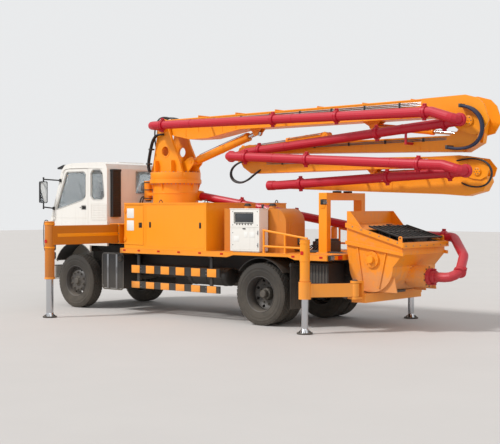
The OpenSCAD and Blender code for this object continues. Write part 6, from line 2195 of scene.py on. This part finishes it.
# ---------------------------------------------------------------- hopper, legs and rear end
@dataclass
class RearEnd:
    """Hopper lining, agitator, rims, grate frame, boom rest pads and railing feet."""

    wall: float = 0.02
    trough: Flat = (-1.85, 1.01)
    trough_r: float = 0.4
    paddles: int = 6

    def build(self) -> None:
        """Fit the hopper and what stands on the rear deck."""
        self.fitter = Fitter("chassis")
        self._lining()
        self._agitator()
        self._outside()
        self._rest()

    def _lining(self) -> None:
        """Worn dark lining just inside the hopper's walls."""
        r = self.trough_r - self.wall - 0.004
        floor = arc(self.trough, r, 180, 360, 24)
        path = [(-2.394, 1.372), (-2.394, 1.2)] + floor + [(-1.424, 1.288), (-1.424, 1.65)]
        shrunk = [(-2.388, 1.372), (-2.388, 1.2)] + arc(
            self.trough, r - 0.005, 180, 360, 24) + [(-1.43, 1.288), (-1.43, 1.65)]
        belly = Shop.panel(path + shrunk[::-1], side_plane(-0.596), 1.192, 0.0)
        cheek = Shop.panel([(-2.388, 1.366)] + shrunk[1:-1] + [(-1.43, 1.648)], side_plane(0.592), 0.005, 0.0)
        self.fitter.fit([belly, Shop.both(cheek)], "hopper_lining", Look.LINER)

    def _agitator(self) -> None:
        """Shaft with paddles across the trough, bearings and the drive motor outside."""
        cx, cz = -1.88, 1.12
        parts = [Shop.bar((cx, -0.59, cz), (cx, 0.59, cz), 0.034, 24)]
        for k in range(self.paddles):
            y = -0.48 + 0.96 * k / (self.paddles - 1)
            place = Matrix.Translation(at(cx, y, cz)) @ turn(62 * k, "Y")
            arm = Bench.rod((0, 0, 0.02), (0, 0, 0.2), 0.014, 12)
            blade = Bench.plate([(-0.05, -0.045, 0.17), (0.05, -0.02, 0.17), (0.06, 0.045, 0.245),
                                 (-0.04, 0.02, 0.245)], (0, 0.01, 0), 0.002)
            parts.append(Bench.stamped(Bench.joined([arm, blade]), [place]))
        self.fitter.fit(parts, "agitator", Look.LINER)
        caps = [Bench.lathe(at(cx, 0.6945, cz), (0, 1, 0), [(0, 0), (0.058, 0), (0.054, 0.01), (0, 0.012)], 32)]
        ring = Shop.bolt_ring(Shop.spot(side_plane(0.6545), cx, cz), 0.098, 8, 0.01)
        self.fitter.fit(caps + [ring], "agitator_bearing_bolts", Look.YELLOW, both=True)
        motor = [Bench.lathe(at(cx, -0.694, cz), (0, -1, 0), [(0, 0), (0.075, 0), (0.075, 0.03), (0.058, 0.04),
                                                              (0.058, 0.13), (0.03, 0.142), (0, 0.142)], 32),
                 *[Shop.bar((cx, y, cz + 0.05), (cx, y, cz + 0.1), 0.014, 12, 0.002) for y in (-0.79, -0.74)]]
        self.fitter.fit(motor, "agitator_motor", Look.CAST)
        lines = [Shop.hose([(cx, y, cz + 0.1), (cx, y, cz + 0.16), (cx + 0.12, y + 0.02, cz + 0.2),
                            (cx + 0.32, y + 0.08, cz + 0.12), (-1.42, -0.5, 1.16), (-1.36, -0.45, 1.15)], 0.011)
                 for y in (-0.79, -0.74)]
        self.fitter.fit(lines, "agitator_hoses", Look.HOSE)

    def _outside(self) -> None:
        """Rear lip, rim bolts, side ribs, outlet bolts, clean-out cover and grate frame."""
        fit = self.fitter.fit
        lip = Shop.slab((-2.474, -0.66, 1.3), (-2.459, 0.66, 1.385), 0.005)
        fit(lip, "hopper_rear_lip", Look.HOPPER)
        places = [Shop.spot(end_plane(-2.4735, -1), y, 1.335) for y in [-0.6 + 0.2 * k for k in range(7)]]
        fit(Shop.bolts(places, 0.008), "hopper_lip_bolts", Look.STEEL)
        side = []
        for k in range(6):
            x = -2.36 + 0.165 * k
            side.append(Shop.spot(side_plane(0.6645), x, 1.355 + (x + 2.46) * 0.285))
        fit(Shop.bolts(side, 0.008), "hopper_rim_bolts", Look.STEEL, both=True)
        ribs = [Shop.panel([(x0, z0), (x0 + 0.02, z0), (x1 + 0.02, z1), (x1, z1)], side_plane(0.619), 0.022, 0.003)
                for x0, z0, x1, z1 in ((-1.72, 0.7, -1.62, 1.3), (-2.02, 0.68, -2.14, 1.22))]
        fit(ribs, "hopper_side_ribs", Look.HOPPER, both=True)
        outlet = Shop.bolt_ring(Shop.spot(end_plane(-2.509, -1), 0, 0.85), 0.15, 10, 0.01, 0.5)
        fit(outlet, "outlet_flange_bolts", Look.CAST)
        gate = Shop.slab((-1.99, -0.16, 0.585), (-1.71, 0.16, 0.622), 0.006)
        fit(gate, "hopper_clean_out", Look.CAST)
        grate = Fitter("grate")
        rim = [Shop.panel([(-2.37, 1.445), (-1.765, 1.617), (-1.765, 1.643), (-2.37, 1.471)],
                          side_plane(y), 0.014, 0.003) for y in (-0.5555, 0.5415)]
        rim.append(Shop.slab((-1.79, -0.08, 1.64), (-1.77, 0.08, 1.655), 0.004))
        grate.fit(rim, "grate_frame", Look.BLACK)

    def _rest(self) -> None:
        """Pads and feet of the boom rest, railing feet, work lamp and valve bank."""
        fit = self.fitter.fit
        pads = [Shop.slab((-0.932, y - 0.042, 2.15), (-0.808, y + 0.042, 2.1865), 0.006) for y in (-0.15, 0.15)]
        fit(pads, "boom_rest_pads", Look.RUBBER)
        feet = [Shop.slab((-0.985, 0.4, 1.179), (-0.755, 0.57, 1.194), 0.004)]
        feet += [Shop.panel([(-0.95, 2.035), (-0.79, 2.035), (-0.83, 1.9), (-0.91, 1.9)],
                            side_plane(0.539), 0.008, 0.003)]
        fit(feet, "boom_rest_feet", Look.YELLOW, both=True)
        bolts = [Shop.spot(top_plane(1.1935), x, y) for x in (-0.965, -0.775) for y in (0.42, 0.55)]
        fit(Shop.bolts(bolts, 0.01), "boom_rest_bolts", Look.STEEL, both=True)
        flanges = [Shop.upright(x, 1.045, 1.18, [(0.017, 0), (0.034, 0), (0.034, 0.008), (0.02, 0.01),
                                                 (0.017, 0.016)], 24) for x in (-0.06, -0.5, -0.93)]
        fit(flanges, "railing_feet", Look.YELLOW, both=True)
        lamp = [Shop.slab((-1.00, 0.6, 1.96), (-0.95, 0.72, 2.05), 0.012),
                Shop.slab((-0.955, 0.535, 1.99), (-0.93, 0.66, 2.01), 0.003)]
        fit(lamp, "work_lamp", Look.PLASTIC)
        fit(Shop.tile((0.612, 1.972), (0.708, 2.038), end_plane(-0.999, -1), 0.005, 0.0015, 0.012, 3),
            "work_lamp_lens", Look.CLEAR_LENS)
        valves = [Shop.slab((-0.7, -0.2, 1.18), (-0.42, 0.22, 1.36), 0.01)]
        valves += [Shop.slab((-0.68 + 0.05 * k, -0.17, 1.355), (-0.65 + 0.05 * k, 0.19, 1.4), 0.006)
                   for k in range(5)]
        fit(valves, "valve_bank", Look.CAST)
        runs = [Shop.hose([(-0.66 + 0.05 * k, 0.2, 1.3), (-0.66 + 0.05 * k, 0.3, 1.31),
                           (-0.64 + 0.05 * k, 0.36 + 0.01 * k, 1.24), (-0.6 + 0.05 * k, 0.37 + 0.01 * k, 1.19)],
                          0.01) for k in range(5)]
        fit(runs, "valve_hoses", Look.HOSE)


@dataclass
class Legs:
    """Strips, column caps, collars and foot rings of the four stabilising legs."""

    front_y: float = 2.47
    front_x: tuple[float, float] = (3.608, 3.366)
    rear: Flat = (-1.25, 1.5)
    hinge: Flat = (-1.75, 0.9)

    def build(self) -> None:
        """Fit the front and rear legs."""
        for (word, sign), x in zip(SIDES, self.front_x):
            self._front(word, sign, x)
            self._rear(word, sign)

    def _front(self, word: str, sign: int, x: float) -> None:
        """One front leg: strips along the beam, column cap and rings, reflector and line.

        Args:
            word: Side name.
            sign: 1 left, -1 right.
            x: Station of the beam's middle.
        """
        fitter = Fitter(f"front_beam_{word}")
        near, far = sorted((sign * 0.6, sign * 2.375))
        strips = [Shop.slab((x + dx, near, 1.402), (x + dx + 0.004, far, 1.462), 0.001) for dx in (-0.1035, 0.0995)]
        fitter.fit(strips, f"front_beam_{word}_strips", Look.YELLOW)
        cap = [Shop.upright(x, sign * self.front_y, 1.6595, [
            (0, 0), (0.09, 0), (0.09, 0.01), (0.082, 0.014), (0, 0.016)], 36)]
        cap += [Shop.upright(x, sign * self.front_y, z, [
            (0.084, 0), (0.093, 0.004), (0.093, 0.026), (0.084, 0.03)], 36) for z in (0.672, 1.205, 1.615)]
        fitter.fit(cap, f"front_column_{word}_rings", Look.YELLOW)
        bolts = Shop.bolt_ring(Shop.spot(top_plane(1.6735), x, sign * self.front_y), 0.06, 6, 0.008)
        fitter.fit(bolts, f"front_column_{word}_bolts", Look.STEEL)
        lens = Shop.tile((x - 0.03, 1.3), (x + 0.03, 1.36), side_plane(self.front_y + 0.0835, sign), 0.006, 0.002,
                         0.02)
        fitter.fit(lens, f"front_column_{word}_reflector", Look.RED_LENS)
        route = ((0.02, 0.02, 1.685), (0.05, 0.05, 1.715), (0.074, 0.074, 1.66), (0.071, 0.071, 1.45),
                 (0.071, 0.071, 1.2), (0.055, 0.055, 1.15))
        tube = Shop.hose([(x + dx, sign * (self.front_y + dy), z) for dx, dy, z in route], 0.007)
        fitter.fit(tube, f"front_column_{word}_line", Look.HOSE)
        self._foot(f"front_jack_{word}", x, sign * self.front_y)

    def _rear(self, word: str, sign: int) -> None:
        """One rear leg: cap, collars and hinge cap.

        Args:
            word: Side in a piece's name.
            sign: 1 on the left, -1 on the right.
        """
        fitter = Fitter(f"swing_arm_{word}")
        x, y = self.rear[0], sign * self.rear[1]
        rings = [Shop.upright(x, y, 1.4195, [(0, 0), (0.079, 0), (0.079, 0.01), (0.07, 0.014), (0, 0.015)], 32)]
        rings += [Shop.upright(x, y, z, [(0.074, 0), (0.081, 0.003), (0.081, 0.022), (0.074, 0.025)], 32)
                  for z in (0.8, 1.1, 1.37)]
        fitter.fit(rings, f"rear_column_{word}_rings", Look.YELLOW)
        fitter.fit(Shop.bolt_ring(Shop.spot(top_plane(1.4325), x, y), 0.052, 6, 0.007), f"rear_column_{word}_bolts",
                   Look.STEEL)
        lens = Shop.tile((x - 0.028, 1.2), (x + 0.028, 1.26), side_plane(self.rear[1] + 0.073, sign), 0.006, 0.002,
                         0.02)
        fitter.fit(lens, f"rear_column_{word}_reflector", Look.RED_LENS)
        pin = Shop.upright(self.hinge[0], sign * self.hinge[1], 0.799, [
            (0, 0), (0.044, 0), (0.044, 0.01), (0.036, 0.016), (0, 0.016)], 28)
        Fitter("chassis").fit(pin, f"rear_hinge_cap_{word}", Look.CAST)
        self._foot(f"swing_jack_{word}", x, y)

    def _foot(self, body: str, x: float, y: float) -> None:
        """Dark ring and ribs of a jack's foot.

        Args:
            body: The jack's body.
            x: Station of the foot.
            y: Its distance from the middle.
        """
        fitter = Fitter(body)
        ring = [Shop.upright(x, y, 0.0, [(0.112, 0.001), (0.122, 0.004), (0.124, 0.02), (0.117, 0.028),
                                         (0.104, 0.0265), (0.104, 0.0245), (0.112, 0.022)], 44)]
        rib = Bench.plate([(0.055, -0.004, 0.024), (0.108, -0.004, 0.024), (0.062, -0.004, 0.068)], (0, 0.008, 0),
                          0.001)
        ring.append(Bench.stamped(rib, [Matrix.Translation(at(x, y, 0)) @ turn(45 * k, "Z") for k in range(8)]))
        fitter.fit(ring, f"{body}_foot", Look.BLACK)


# ---------------------------------------------------------------- dressing and start
BOOM_PARTS = {kind: tuple(f"{kind}_{k}" for k in (1, 2, 3, 4)) for kind in ("boom", "barrel", "rod", "pipe")}
DRESSED: dict[Look, tuple[str, ...]] = {
    Look.YELLOW: ("pedestal", "cabinet", "cabinet_door", "turret", "rear_frame", "boom_rest", "railings",
                  "rear_arm_left", "rear_arm_right", *BOOM_PARTS["boom"], *BOOM_PARTS["barrel"]),
    Look.YELLOW_DECK: ("deck",),
    # The leg beams take the darker orange of painted shade.
    Look.BEAM_SHADE: ("outrigger_left", "outrigger_right"),
    Look.CRIMSON: ("delivery_pipe", *BOOM_PARTS["pipe"]),
    Look.WHITE: ("cab_shell", "door_left", "door_right", "front_bumper", "control_box"),
    Look.BLACK: ("chassis_frame", "front_axle", "rear_axle", "underbody", "side_guards", "hopper_grate"),
    # The oil tank takes the darker orange of painted shade.
    Look.AMBER_SHADE: ("hydraulic_tank",),
    Look.CAST: ("driveline", "knuckle_left", "knuckle_right"),
    Look.CHROME: ("jack_left", "jack_right", "rear_jack_left", "rear_jack_right", *BOOM_PARTS["rod"]),
    Look.GLASS: ("cab_glass", "door_glass_left", "door_glass_right"),
    Look.SEAT: ("cab_interior",),
    Look.PLASTIC: ("cab_trim",),
    Look.HOPPER: ("hopper",),
}
EASED_BY: dict[float, tuple[str, ...]] = {
    0.012: ("cab_shell", "front_bumper", "cab_interior"),
    0.008: ("hydraulic_tank",),
    0.006: ("control_box", "cab_trim", "outrigger_left", "outrigger_right", "underbody"),
    0.005: ("boom_rest", "rear_frame"),
    0.004: ("cabinet", *BOOM_PARTS["boom"]),
    0.003: ("cabinet_door", "deck", "hopper", "turret"),
    0.002: ("side_guards",),
}
EASED: dict[str, float] = {solid: width for width, solids in EASED_BY.items() for solid in solids}


def main() -> None:
    """Build everything in order."""
    logging.basicConfig(level=logging.INFO, format="%(message)s")
    Studio().build()
    for look, solids in DRESSED.items():
        for solid in solids:
            dress(solid, look, EASED.get(solid, 0.0))
    for assembly in (Wheels(), Cab(), Chassis(), Housings(), Boom(), RearEnd(), Legs()):
        assembly.build()


if __name__ == "__main__":
    main()
